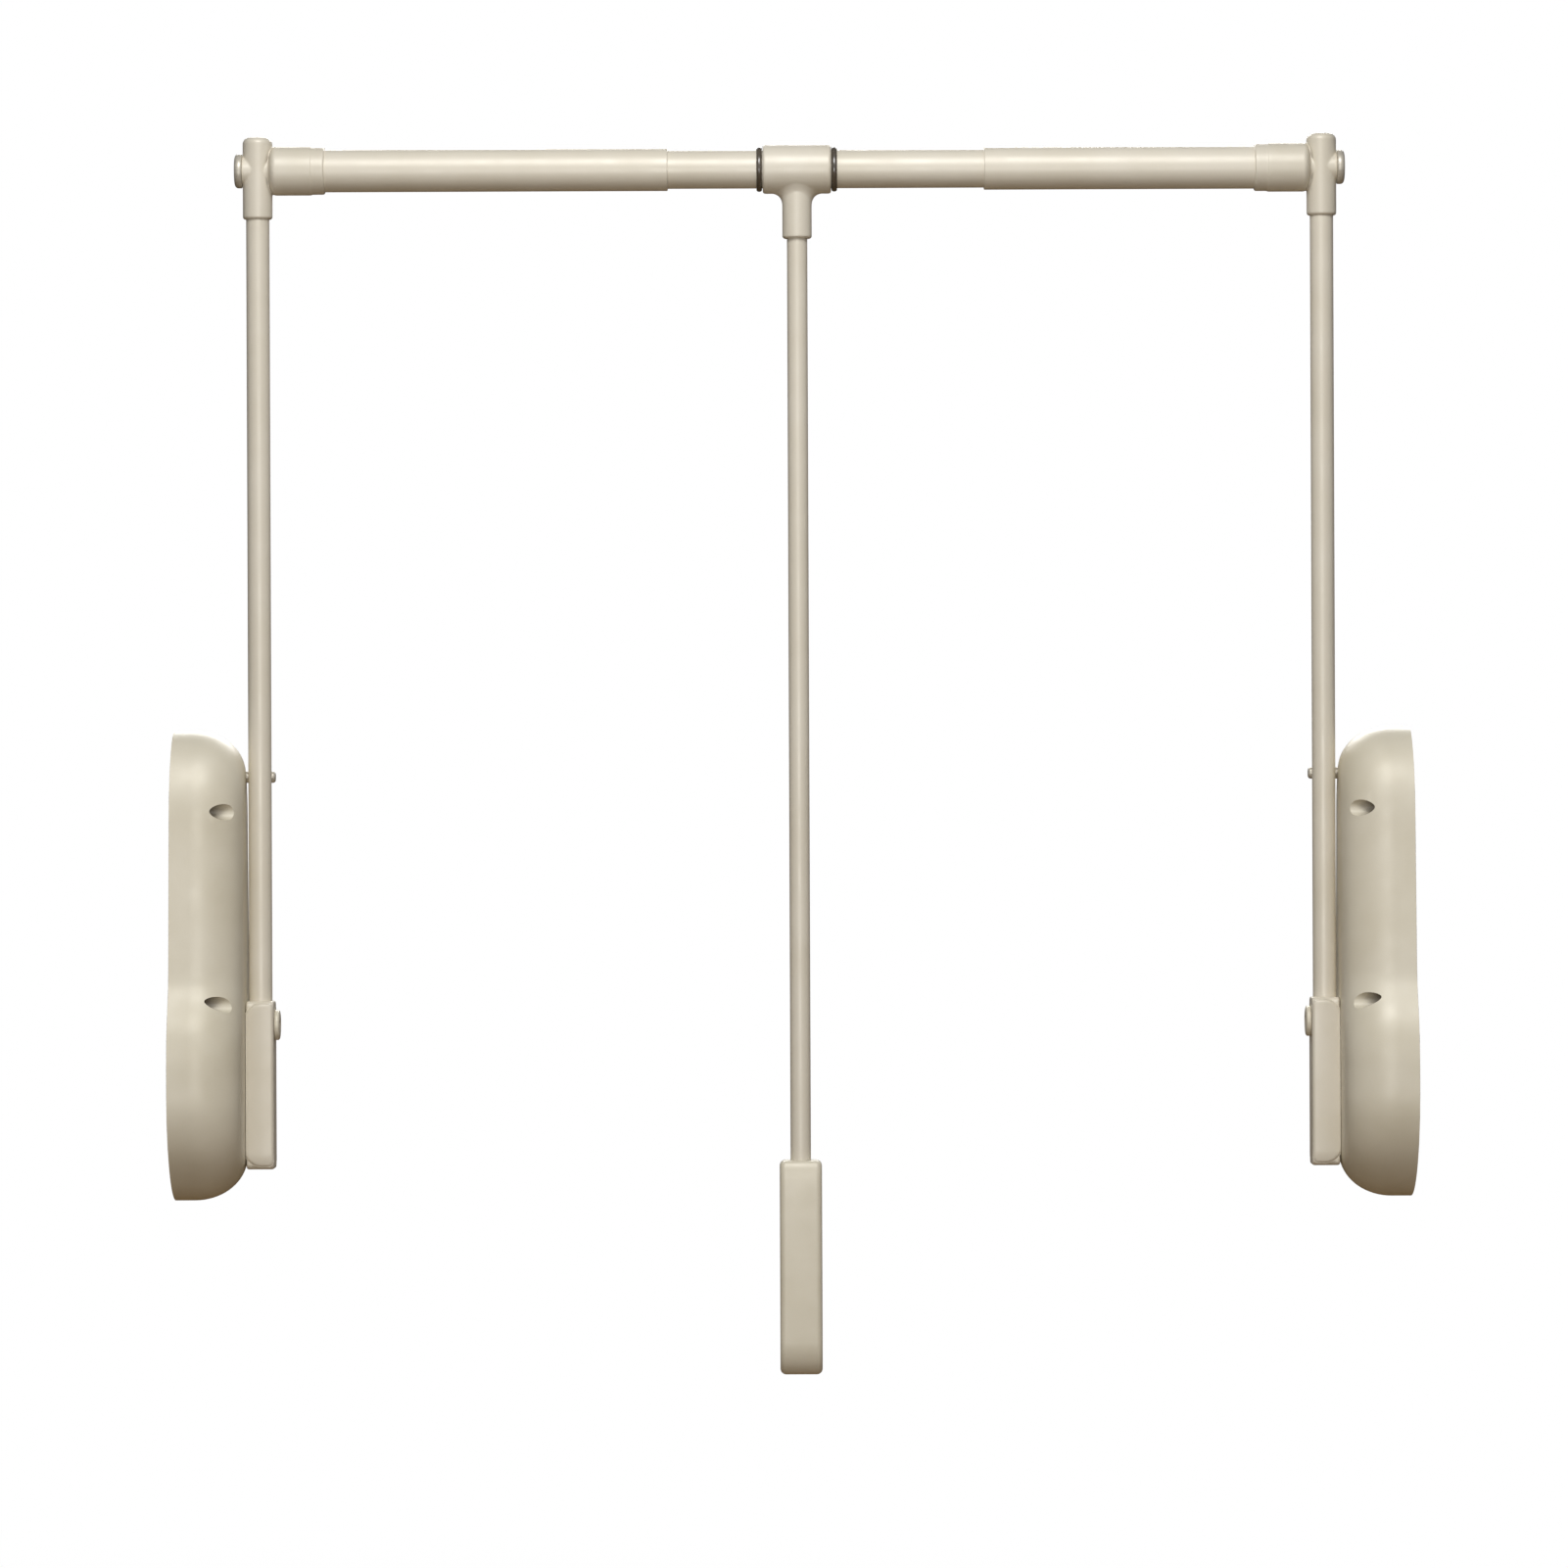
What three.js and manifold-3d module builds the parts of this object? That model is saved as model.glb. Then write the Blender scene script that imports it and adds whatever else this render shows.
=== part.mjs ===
// Pull-down closet rod: two wall housings with sprung arms, a telescopic hanging rod and a pull handle.
// Millimetres, +Z up, +X to the right, -Y towards the user. The origin lies on the left wall plane,
// on the axis that both arms swing about. The right side is the left one mirrored.

import * as THREE from "three";
import { mergeVertices } from "three/addons/utils/BufferGeometryUtils.js";
import Module from "manifold-3d";

const wasm = await Module();
wasm.setup();

// Whole lift
const SPAN = 850; // wall plane to wall plane, as set in the photograph
const ARM_REACH = 634; // swing axis to hanging rod axis
const ARM_LINE = 59; // wall plane to the middle of an arm tube
const SEAT_GAP = 0.3; // between pieces that touch
const RUN_GAP = 0.3; // between a bore and what turns or slides in it
const OVERRUN = 2; // a cutter runs this far past the face it opens
const WELD = 0.001; // vertices closer than this are one

// Housing, seen from the side: a round lobe below, a waisted neck and an oval crown
const LOBE_RADIUS = 74;
const LOBE_TOP = 18; // swing axis to where the lobe starts to draw in
const LOBE_PULL = 38; // handle of the neck's curve at the lobe
const NECK_PULL = 22; // handle of the neck's curve at the neck
const NECK_HALF = 54.5; // half depth where the neck starts
const NECK_HEIGHT = 86;
const CROWN_HALF = 47;
const CROWN_BASE = 185; // swing axis to the crown's widest line
const CROWN_RISE = 64;
const HOUSING_DEEP = 49; // wall plane to the flat inner face
const RIM_STRAIGHT = 14; // wall plane to where the dome starts
const DOME_INSET = 29; // outline to the edge of the flat inner face
const COVER_WALL = 2.5;
const COVER_LIFT = 0.4; // cover rim to wall plane
const PLATE_THICK = 2.5;

// Wall screws, sunk in deep channels at the housing's edges
const SCREW_CHANNEL = 12;
const SCREW_HOLE = 6.4;
const SCREW_EDGE = 8; // outline to channel axis
const SCREW_FLOOR = 6; // wall plane to channel floor
const SCREW_BOSS_WALL = 2;
const SCREW_HIGH = 193;
const SCREW_LOW = 62;

// Swing axis: shaft, bush and crank
const SHAFT_RADIUS = 7;
const SHAFT_TAIL = 3; // wall plane to the shaft's tail
const SHAFT_NOSE = 64;
const SHAFT_CHAMFER = 0.6;
const BEARING_WALL = 5;
const BEARING_TALL = 8;
const BUSH_WALL = 3.5;
const BUSH_FLANGE = 4; // flange beyond the bush's outside
const BUSH_FLANGE_THICK = 2;
const CRANK_THROW = 28;
const CRANK_THICK = 5;
const CRANK_START = 35.2; // wall plane to the crank's near face
const CRANK_HUB_TALL = 8;
const CRANK_WALL = 5;
const CRANK_PIN_RADIUS = 3.5;
const CRANK_PIN_LONG = 15.5;
const SWING = THREE.MathUtils.degToRad(110); // arm travel, up to fully down

// Spring drive: a slotted yoke that the crank lifts, with its rod, spring and damper
const DRIVE_LINE = 24; // wall plane to the spring's axis
const YOKE_THICK = 6;
const YOKE_WALL = 3.5;
const SLOT_END_PLAY = 1.2;
const SLOT_SIDE_PLAY = 1.8; // lets a steady lift stand for the crank's sine
const GUIDE_RADIUS = 4;
const SPRING_RADIUS = 9; // to the middle of the wire
const SPRING_WIRE = 1.5; // wire radius
const SPRING_TURNS = 8;
const SPRING_STEPS = 8; // per turn
const SPRING_SIDES = 5;
const SEAT_HEIGHT = 150; // swing axis to the underside of the spring's shelf
const SHELF_THICK = 4;
const SHELF_EDGE = 10; // shelf beyond the axes it holds
const SHELF_DEEP = 34;
const SHELF_FOOT = 17; // the upturned foot above the shelf
const CROSSHEAD_CLEAR = 6; // shelf to crosshead at rest
const CROSSHEAD_TALL = 8;
const CROSSHEAD_HALF = 6;
const DAMPER_LINE = -22; // depth of the damper's axis
const DAMPER_RADIUS = 9;
const DAMPER_LONG = 104;
const DAMPER_WALL = 1.5;
const DAMPER_FLOOR = 3;
const DAMPER_ROD_RADIUS = 3;
const DAMPER_ROD_SUNK = 92; // rod inside the cylinder at rest
const PISTON_TALL = 6;

// Stop pin behind the arm
const STOP_RADIUS = 4;
const STOP_HEIGHT = 217;
const STOP_TIP = 70.5; // wall plane to the pin's rounded tip
const STOP_ROOT = 37;
const STOP_ROUND = 2;
const STOP_BOSS_WALL = 2.5;

// Arm lever: a narrow casting beside the housing that turns about its middle
const LEVER_TOP = 63; // swing axis to its top
const LEVER_FOOT = 52.5; // swing axis down to its foot
const LEVER_THICK = 19; // along the swing axis
const LEVER_HALF = 12.8; // half depth of its body
const LEVER_CORNER = 4; // its body's corners, seen from the side
const LEVER_EDGE = 1.2; // rounding of its body's rims
const LEVER_CLEAR = 0.6; // housing to lever
const PANEL_PROUD = 2.2; // raised panel on its front and on its back
const PANEL_LEDGE = 1.4; // body beyond the panels at top and foot
const PANEL_ARCH = 9; // panels' corners beside the housing
const PANEL_CORNER = 4;
const PANEL_EDGE = 3.2; // rounding of the panels' rims
const LEVER_WALL = 3;
const LEVER_HUB_WALL = 5;
const LEVER_RIB = 2.4;
const LEVER_RIBS = 2;
const LEVER_SOCKET_DEEP = 38;

// Arm tube and the screw that clamps it
const TUBE_RADIUS = 8;
const TUBE_WALL = 1.2;
const CLAMP_HEAD_RADIUS = 10.5;
const CLAMP_HEAD_TALL = 3.4;
const CLAMP_HEAD_SOFT = 0.8;
const CLAMP_SHANK_RADIUS = 3;
const CLAMP_HEIGHT = 46.5;
const CLAMP_SHANK_TIP = 60; // wall plane to the screw's tip
const CLAMP_SOCKET_RADIUS = 3;
const CLAMP_SOCKET_DEEP = 1.4;

// Corner elbow on top of the arm tube: a domed post with a sleeve for the hanging rod
const POST_RADIUS = 11;
const POST_ABOVE = 23; // rod axis to the domed top
const POST_BELOW = 33.4;
const POST_DOME = 5;
const POST_LIP = 1.2;
const POST_SOCKET_DEEP = 22;
const SLEEVE_START = 65; // wall plane to where the shoulder leaves the post
const SLEEVE_SHOULDER = 6;
const SLEEVE_MOUTH = 105.4; // wall plane to the sleeve's mouth
const SLEEVE_ROOT_RADIUS = 17;
const SLEEVE_MOUTH_RADIUS = 16.4;
const SLEEVE_FLOOR = 76.7; // wall plane to the bottom of the bore
const SLEEVE_LIP = 9; // length of the slimmer band at the mouth
const SLEEVE_LIP_DEEP = 0.4;
const SLEEVE_CHAMFER = 0.8;
const BOLT_HEAD_RADIUS = 11.8;
const BOLT_HEAD_TALL = 5.5;
const BOLT_HEAD_DOME = 2;
const BOLT_SHANK_RADIUS = 4;
const BOLT_SOCKET_RADIUS = 4.2;
const BOLT_SOCKET_DEEP = 3;
const BOLT_TIP = 88; // wall plane to the bolt's tip
const PLUG_LONG = 20;

// Hanging rod: an outer tube on each arm and one inner tube right through the tee
const OUTER_RADIUS = 14.75;
const OUTER_WALL = 1;
const INNER_RADIUS = 13.3;
const INNER_WALL = 1;
const LEFT_BARE = 61; // inner tube showing between left stop ring and outer tube
const RIGHT_BARE = 101;
const ENGAGED = 60; // inner tube inside each outer one

// Tee, stop rings, pull rod and grip
const TEE_SHARE = 0.506; // of the span, from the left wall plane to the tee's middle
const TEE_RADIUS = 17;
const TEE_LONG = 47;
const TEE_CHAMFER = 0.8;
const TEE_STEM_RADIUS = 10.1;
const TEE_STEM_LONG = 48; // rod axis to the stem's mouth
const TEE_FLARE = 9;
const TEE_FLARE_SUNK = 3; // the flare's wide end inside the collar
const TEE_STEM_LIP = 1.2;
const TEE_SOCKET_DEEP = 26;
const RING_WIDE = 4;
const RING_RADIUS = 15.6;
const RING_ROUND = 1;
const PULL_RADIUS = 7;
const PULL_WALL = 1.2;
const GRIP_TOP = -48; // height against the swing axis
const GRIP_TALL = 147.5;
const GRIP_WIDE = 29;
const GRIP_DEEP_TOP = 27;
const GRIP_DEEP = 31;
const GRIP_ROUND_FOOT = 15;
const GRIP_ROUND_TOP = 5;
const GRIP_EDGE = 4;
const GRIP_SOCKET_DEEP = 40;

// Facets
const ROUND = 20;
const ROUND_HEAD = 14;
const ROUND_SMALL = 10;
const LOBE_STEPS = 6;
const CROWN_STEPS = 10;
const NECK_STEPS = 5;
const DOME_STEPS = 5;
const INSIDE_STEPS = 2;
const EDGE_STEPS = 2;
const CORNER_STEPS = 2;
const ROUNDING_STEPS = [0, 1, 2, 3].map((step) => (step / 3) * (Math.PI / 2));

// Finishes
const champagne = new THREE.MeshStandardMaterial({ color: 0xd3cab6, roughness: 0.42, metalness: 0.35 });
const zinc = new THREE.MeshStandardMaterial({ color: 0xb9bab8, roughness: 0.35, metalness: 0.9 });
const steel = new THREE.MeshStandardMaterial({ color: 0x8f9194, roughness: 0.4, metalness: 0.9 });
const black = new THREE.MeshStandardMaterial({ color: 0x24231f, roughness: 0.7, metalness: 0 });

// Solids: closed geometry in, booleans, geometry out
function solid(geometry) {
  const bare = geometry.clone();
  bare.deleteAttribute("normal");
  bare.deleteAttribute("uv");
  const merged = mergeVertices(bare, WELD);
  return new wasm.Manifold(
    new wasm.Mesh({
      numProp: 3,
      vertProperties: merged.attributes.position.array,
      triVerts: new Uint32Array(merged.index.array),
    }),
  );
}

function fuse(...geometries) {
  return geometries.map(solid).reduce((whole, next) => whole.add(next));
}

function geometryOf(made) {
  const mesh = made.getMesh();
  const geometry = new THREE.BufferGeometry();
  geometry.setAttribute("position", new THREE.BufferAttribute(mesh.vertProperties, 3));
  geometry.setIndex(new THREE.BufferAttribute(mesh.triVerts, 1));
  geometry.computeVertexNormals();
  return geometry;
}

// A round bar along x, and one along z
function barX(radius, fromX, toX, y, z, sides = ROUND) {
  const bar = new THREE.CylinderGeometry(radius, radius, toX - fromX, sides);
  bar.rotateZ(-Math.PI / 2);
  bar.translate((fromX + toX) / 2, y, z);
  return bar;
}

function barZ(radius, x, y, fromZ, toZ, sides = ROUND) {
  const bar = new THREE.CylinderGeometry(radius, radius, toZ - fromZ, sides);
  bar.rotateX(Math.PI / 2);
  bar.translate(x, y, (fromZ + toZ) / 2);
  return bar;
}

// An upright hole on the drive's line, open at both ends
function holeZ(radius, y, fromZ, toZ) {
  return solid(barZ(radius, DRIVE_LINE, y, fromZ - OVERRUN, toZ + OVERRUN, ROUND_SMALL));
}

// A block between two corners
function block(fromX, toX, fromY, toY, fromZ, toZ) {
  const box = new THREE.BoxGeometry(toX - fromX, toY - fromY, toZ - fromZ);
  box.translate((fromX + toX) / 2, (fromY + toY) / 2, (fromZ + toZ) / 2);
  return box;
}

// A turned piece: rows of radius and height, from one end of the axis to the other
function turned(rows, sides) {
  const profile = rows.map(([radius, height]) => new THREE.Vector2(radius, height));
  return new THREE.LatheGeometry(profile, sides);
}

function turnedX(rows, z, sides = ROUND) {
  const made = turned(rows, sides);
  made.rotateZ(-Math.PI / 2);
  made.translate(0, 0, z);
  return made;
}

function turnedZ(rows, x, y, sides = ROUND) {
  const made = turned(rows, sides);
  made.rotateX(Math.PI / 2);
  made.translate(x, y, 0);
  return made;
}

// A round tube: its wall as a closed profile, turned
function pipeRows(outer, inner, from, to) {
  return [
    [inner, from],
    [outer, from],
    [outer, to],
    [inner, to],
    [inner, from],
  ];
}

// Runs of points (depth, height); loops of them go anticlockwise seen from +x
function arc(y, z, wide, tall, from, to, steps) {
  return new THREE.EllipseCurve(y, z, wide, tall, from, to, false, 0).getPoints(steps);
}

function bend(places, steps) {
  const points = places.map(([y, z]) => new THREE.Vector2(y, z));
  const curve =
    points.length === 3
      ? new THREE.QuadraticBezierCurve(...points)
      : new THREE.CubicBezierCurve(...points);
  return curve.getPoints(steps);
}

// The same run on the front side, walked back
function mirrored(places) {
  return places.map(([y, z]) => [-y, z]).reverse();
}

function loopOf(...runs) {
  const points = runs.flat();
  return points.filter((point, i) => {
    const next = points[(i + 1) % points.length];
    return point.distanceTo(next) > WELD;
  });
}

function insetLoop(loop, inset) {
  return loop.map((point, i) => {
    const before = loop[(i + loop.length - 1) % loop.length];
    const after = loop[(i + 1) % loop.length];
    const along = after.clone().sub(before).normalize();
    return new THREE.Vector2(point.x - along.y * inset, point.y + along.x * inset);
  });
}

// A closed skin through insets of one loop at places along x, each end fanned from its middle
function loft(loop, stations) {
  const rings = stations.map(({ x, inset }) => insetLoop(loop, inset).map((p) => [x, p.x, p.y]));
  const count = loop.length;
  const faces = [];
  for (let ring = 0; ring + 1 < rings.length; ring++) {
    for (let i = 0; i < count; i++) {
      const near = ring * count + i;
      const nearNext = ring * count + ((i + 1) % count);
      faces.push(near, nearNext, near + count);
      faces.push(nearNext, nearNext + count, near + count);
    }
  }
  const sum = loop.reduce((total, point) => total.add(point), new THREE.Vector2());
  const middle = sum.divideScalar(count);
  const nearHub = rings.length * count;
  const farHub = nearHub + 1;
  const farStart = nearHub - count;
  for (let i = 0; i < count; i++) {
    const next = (i + 1) % count;
    faces.push(nearHub, next, i);
    faces.push(farHub, farStart + i, farStart + next);
  }
  const hubs = [stations[0].x, middle.x, middle.y, stations.at(-1).x, middle.x, middle.y];
  const geometry = new THREE.BufferGeometry();
  const places = [...rings.flat(2), ...hubs];
  geometry.setAttribute("position", new THREE.Float32BufferAttribute(places, 3));
  geometry.setIndex(faces);
  return geometry;
}

// Stations of a slab whose two rims are rounded
function roundedStations(fromX, toX, edge) {
  const near = [];
  const far = [];
  for (let step = 0; step <= EDGE_STEPS; step++) {
    const angle = (step / EDGE_STEPS) * (Math.PI / 2);
    const inset = edge * (1 - Math.sin(angle));
    const back = edge * (1 - Math.cos(angle));
    near.push({ x: fromX + back, inset });
    far.unshift({ x: toX - back, inset });
  }
  return [...near, ...far];
}

// Housing outline: lobe, neck, crown, and back down
function housingOutline() {
  const lobePull = LOBE_TOP + LOBE_PULL;
  const neckPull = NECK_HEIGHT - NECK_PULL;
  const neck = [
    [LOBE_RADIUS, LOBE_TOP],
    [LOBE_RADIUS, lobePull],
    [NECK_HALF, neckPull],
    [NECK_HALF, NECK_HEIGHT],
  ];
  return loopOf(
    arc(0, 0, LOBE_RADIUS, LOBE_RADIUS, -Math.PI / 2, 0, LOBE_STEPS),
    bend(neck, NECK_STEPS),
    arc(0, CROWN_BASE, CROWN_HALF, CROWN_RISE, 0, Math.PI, CROWN_STEPS),
    bend(mirrored(neck), NECK_STEPS),
    arc(0, 0, LOBE_RADIUS, LOBE_RADIUS, Math.PI, Math.PI * 1.5, LOBE_STEPS),
  );
}

const housingLoop = housingOutline();

// Half depth of the housing's outline at a height
function halfDepth(height) {
  const front = housingLoop.filter((point) => point.x >= 0);
  front.sort((a, b) => a.y - b.y);
  const above = front.findIndex((point) => point.y >= height);
  const low = front[above - 1];
  const high = front[above];
  return THREE.MathUtils.mapLinear(height, low.y, high.y, low.x, high.x);
}

// The stop pin's line lies just behind the raised arm tube
const stopY = TUBE_RADIUS + STOP_RADIUS + SEAT_GAP;

// Places of the four wall screws, as depth and height
const screwPlaces = [SCREW_HIGH, SCREW_LOW].flatMap((height) => {
  const depth = halfDepth(height) - SCREW_EDGE;
  return [
    [-depth, height],
    [depth, height],
  ];
});

// The dome from the straight rim to the flat inner face, less the wall thickness for its inside
function domeStations(wall, rimX, steps) {
  const stations = [{ x: rimX, inset: wall }];
  for (let step = 0; step <= steps; step++) {
    const angle = (step / steps) * (Math.PI / 2);
    const rise = (HOUSING_DEEP - wall - RIM_STRAIGHT) * Math.sin(angle);
    const inset = wall + (DOME_INSET - wall) * (1 - Math.cos(angle));
    stations.push({ x: RIM_STRAIGHT + rise, inset });
  }
  return stations;
}

function housingCover() {
  const hollowStart = COVER_LIFT - OVERRUN;
  const outside = solid(loft(housingLoop, domeStations(0, COVER_LIFT, DOME_STEPS)));
  const inside = solid(loft(housingLoop, domeStations(COVER_WALL, hollowStart, INSIDE_STEPS)));
  const bossRadius = SCREW_CHANNEL / 2 + SCREW_BOSS_WALL;
  const bossStart = PLATE_THICK + SEAT_GAP;
  const bosses = screwPlaces.map(([y, z]) =>
    barX(bossRadius, bossStart, HOUSING_DEEP, y, z, ROUND_SMALL),
  );
  const stopBoss = barX(
    STOP_RADIUS + STOP_BOSS_WALL,
    STOP_ROOT - STOP_BOSS_WALL,
    HOUSING_DEEP,
    stopY,
    STOP_HEIGHT,
    ROUND_SMALL,
  );
  const posts = fuse(...bosses, stopBoss).intersect(outside);
  let cover = outside.subtract(inside).add(posts);
  screwPlaces.forEach(([y, z]) => {
    const far = HOUSING_DEEP + OVERRUN;
    cover = cover.subtract(solid(barX(SCREW_CHANNEL / 2, SCREW_FLOOR, far, y, z, ROUND_HEAD)));
    cover = cover.subtract(solid(barX(SCREW_HOLE / 2, -OVERRUN, far, y, z, ROUND_SMALL)));
  });
  const bushHole = SHAFT_RADIUS + RUN_GAP + BUSH_WALL + SEAT_GAP;
  const holeStart = HOUSING_DEEP - COVER_WALL - OVERRUN;
  cover = cover.subtract(
    solid(barX(bushHole, holeStart, HOUSING_DEEP + OVERRUN, 0, 0, ROUND_HEAD)),
  );
  const stopHole = barX(STOP_RADIUS + SEAT_GAP, STOP_ROOT, STOP_TIP, stopY, STOP_HEIGHT, ROUND_SMALL);
  return cover.subtract(solid(stopHole));
}

function basePlate() {
  const inset = COVER_WALL + SEAT_GAP;
  const stations = [
    { x: 0, inset },
    { x: PLATE_THICK, inset },
  ];
  const bearing = barX(
    SHAFT_RADIUS + RUN_GAP + BEARING_WALL,
    PLATE_THICK / 2,
    PLATE_THICK + BEARING_TALL,
    0,
    0,
    ROUND_HEAD,
  );
  let plate = fuse(loft(housingLoop, stations), bearing);
  const boreEnd = PLATE_THICK + BEARING_TALL + OVERRUN;
  const bore = barX(SHAFT_RADIUS + RUN_GAP, PLATE_THICK, boreEnd, 0, 0, ROUND_HEAD);
  plate = plate.subtract(solid(bore));
  screwPlaces.forEach(([y, z]) => {
    const hole = barX(SCREW_HOLE / 2, -OVERRUN, PLATE_THICK + OVERRUN, y, z, ROUND_SMALL);
    plate = plate.subtract(solid(hole));
  });
  return plate;
}

function pivotShaft() {
  return turnedX(
    [
      [0, SHAFT_TAIL],
      [SHAFT_RADIUS - SHAFT_CHAMFER, SHAFT_TAIL],
      [SHAFT_RADIUS, SHAFT_TAIL + SHAFT_CHAMFER],
      [SHAFT_RADIUS, SHAFT_NOSE - SHAFT_CHAMFER],
      [SHAFT_RADIUS - SHAFT_CHAMFER, SHAFT_NOSE],
      [0, SHAFT_NOSE],
    ],
    0,
    ROUND_HEAD,
  );
}

function pivotBush() {
  const bore = SHAFT_RADIUS + RUN_GAP;
  const barrel = bore + BUSH_WALL;
  const flangeEnd = HOUSING_DEEP - COVER_WALL - SEAT_GAP;
  const flangeStart = flangeEnd - BUSH_FLANGE_THICK;
  return turnedX(
    [
      [bore, flangeStart],
      [barrel + BUSH_FLANGE, flangeStart],
      [barrel + BUSH_FLANGE, flangeEnd],
      [barrel, flangeEnd],
      [barrel, HOUSING_DEEP],
      [bore, HOUSING_DEEP],
      [bore, flangeStart],
    ],
    0,
    ROUND_HEAD,
  );
}

// Where the crank pin stands at rest: behind the shaft, half of the swing below its level
const pinY = CRANK_THROW * Math.cos(SWING / 2);
const pinZ = -CRANK_THROW * Math.sin(SWING / 2);

// The crank: a hub on the shaft, a tapered web and the pin that works in the yoke
function crank() {
  const hubRadius = SHAFT_RADIUS + SEAT_GAP + CRANK_WALL;
  const eyeRadius = CRANK_PIN_RADIUS + CRANK_WALL;
  const heading = -SWING / 2;
  const right = heading - Math.PI / 2;
  const left = heading + Math.PI / 2;
  const web = loopOf(
    arc(0, 0, hubRadius, hubRadius, left, right + 2 * Math.PI, LOBE_STEPS),
    arc(pinY, pinZ, eyeRadius, eyeRadius, right, left, LOBE_STEPS),
  );
  const crankEnd = CRANK_START + CRANK_THICK;
  const stations = [
    { x: CRANK_START, inset: 0 },
    { x: crankEnd, inset: 0 },
  ];
  const hubEnd = CRANK_START + CRANK_HUB_TALL;
  const hub = barX(hubRadius, CRANK_START, hubEnd, 0, 0, ROUND_SMALL);
  const pinTip = CRANK_START - CRANK_PIN_LONG;
  const pin = barX(CRANK_PIN_RADIUS, pinTip, crankEnd, pinY, pinZ, ROUND_SMALL);
  const bore = barX(SHAFT_RADIUS + SEAT_GAP, CRANK_START - OVERRUN, hubEnd + OVERRUN, 0, 0, ROUND_HEAD);
  return fuse(loft(web, stations), hub, pin).subtract(solid(bore));
}

// The yoke's slot spans the crank pin's path from front to back
const slotFront = pinY - CRANK_PIN_RADIUS - SLOT_END_PLAY;
const slotBack = CRANK_THROW + CRANK_PIN_RADIUS + SLOT_END_PLAY;
const slotHalf = CRANK_PIN_RADIUS + SLOT_SIDE_PLAY;
const driveY = (slotFront + slotBack) / 2;
const yokeTop = pinZ + slotHalf + YOKE_WALL;

// The crosshead rests just above the spring's shelf
const crossheadLow = SEAT_HEIGHT + SHELF_THICK + CROSSHEAD_CLEAR;
const crossheadTop = crossheadLow + CROSSHEAD_TALL;

function springYoke() {
  const near = DRIVE_LINE - YOKE_THICK / 2;
  const far = DRIVE_LINE + YOKE_THICK / 2;
  const low = pinZ - slotHalf - YOKE_WALL;
  const frame = block(near, far, slotFront - YOKE_WALL, slotBack + YOKE_WALL, low, yokeTop);
  const slotNear = near - OVERRUN;
  const slotFar = far + OVERRUN;
  const slot = block(slotNear, slotFar, slotFront, slotBack, pinZ - slotHalf, pinZ + slotHalf);
  const cupTop = yokeTop + YOKE_WALL;
  const cup = barZ(
    SPRING_RADIUS + SPRING_WIRE,
    DRIVE_LINE,
    driveY,
    yokeTop - SEAT_GAP,
    cupTop,
    ROUND_SMALL,
  );
  const rodHole = barZ(
    GUIDE_RADIUS + SEAT_GAP,
    DRIVE_LINE,
    driveY,
    yokeTop,
    cupTop + OVERRUN,
    ROUND_SMALL,
  );
  return fuse(frame, cup).subtract(solid(slot)).subtract(solid(rodHole));
}

function guideRod() {
  const top = crossheadTop - SEAT_GAP;
  return barZ(GUIDE_RADIUS, DRIVE_LINE, driveY, yokeTop + SEAT_GAP, top, ROUND_SMALL);
}

// A helix with one flat turn at each end
class SpringLine extends THREE.Curve {
  constructor(from, to) {
    super();
    this.from = from;
    this.to = to;
  }

  getPoint(share, target = new THREE.Vector3()) {
    const turn = share * SPRING_TURNS;
    const climb = THREE.MathUtils.clamp((turn - 1) / (SPRING_TURNS - 2), 0, 1);
    const closeTurn = 2 * (SPRING_WIRE + RUN_GAP);
    const closed = Math.min(turn, 1) + Math.max(turn - SPRING_TURNS + 1, 0);
    const open = this.to - this.from - 2 * closeTurn;
    const angle = turn * 2 * Math.PI;
    target.x = SPRING_RADIUS * Math.cos(angle);
    target.y = SPRING_RADIUS * Math.sin(angle);
    target.z = this.from + closed * closeTurn + climb * open;
    return target;
  }
}

// A round wire swept along a curve, with flat ends
function wire(curve, radius, steps, sides) {
  const rings = [];
  for (let step = 0; step <= steps; step++) {
    const centre = curve.getPoint(step / steps);
    const along = curve.getTangent(step / steps);
    const outward = new THREE.Vector3(centre.x, centre.y, 0).normalize();
    const across = new THREE.Vector3().crossVectors(along, outward).normalize();
    outward.crossVectors(across, along).normalize();
    for (let side = 0; side < sides; side++) {
      const angle = (side / sides) * 2 * Math.PI;
      const point = centre.clone();
      point.addScaledVector(outward, radius * Math.cos(angle));
      point.addScaledVector(across, radius * Math.sin(angle));
      rings.push(point.x, point.y, point.z);
    }
  }
  const faces = [];
  for (let step = 0; step < steps; step++) {
    for (let side = 0; side < sides; side++) {
      const here = step * sides + side;
      const next = step * sides + ((side + 1) % sides);
      faces.push(here, next, here + sides);
      faces.push(next, next + sides, here + sides);
    }
  }
  for (let side = 1; side + 1 < sides; side++) {
    const end = steps * sides;
    faces.push(0, side + 1, side);
    faces.push(end, end + side, end + side + 1);
  }
  const geometry = new THREE.BufferGeometry();
  geometry.setAttribute("position", new THREE.Float32BufferAttribute(rings, 3));
  geometry.setIndex(faces);
  return geometry;
}

function liftSpring() {
  const from = yokeTop + YOKE_WALL + SEAT_GAP + SPRING_WIRE;
  const to = SEAT_HEIGHT - SEAT_GAP - SPRING_WIRE;
  const line = new SpringLine(from, to);
  const made = wire(line, SPRING_WIRE, SPRING_TURNS * SPRING_STEPS, SPRING_SIDES);
  made.translate(DRIVE_LINE, driveY, 0);
  return made;
}

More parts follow.
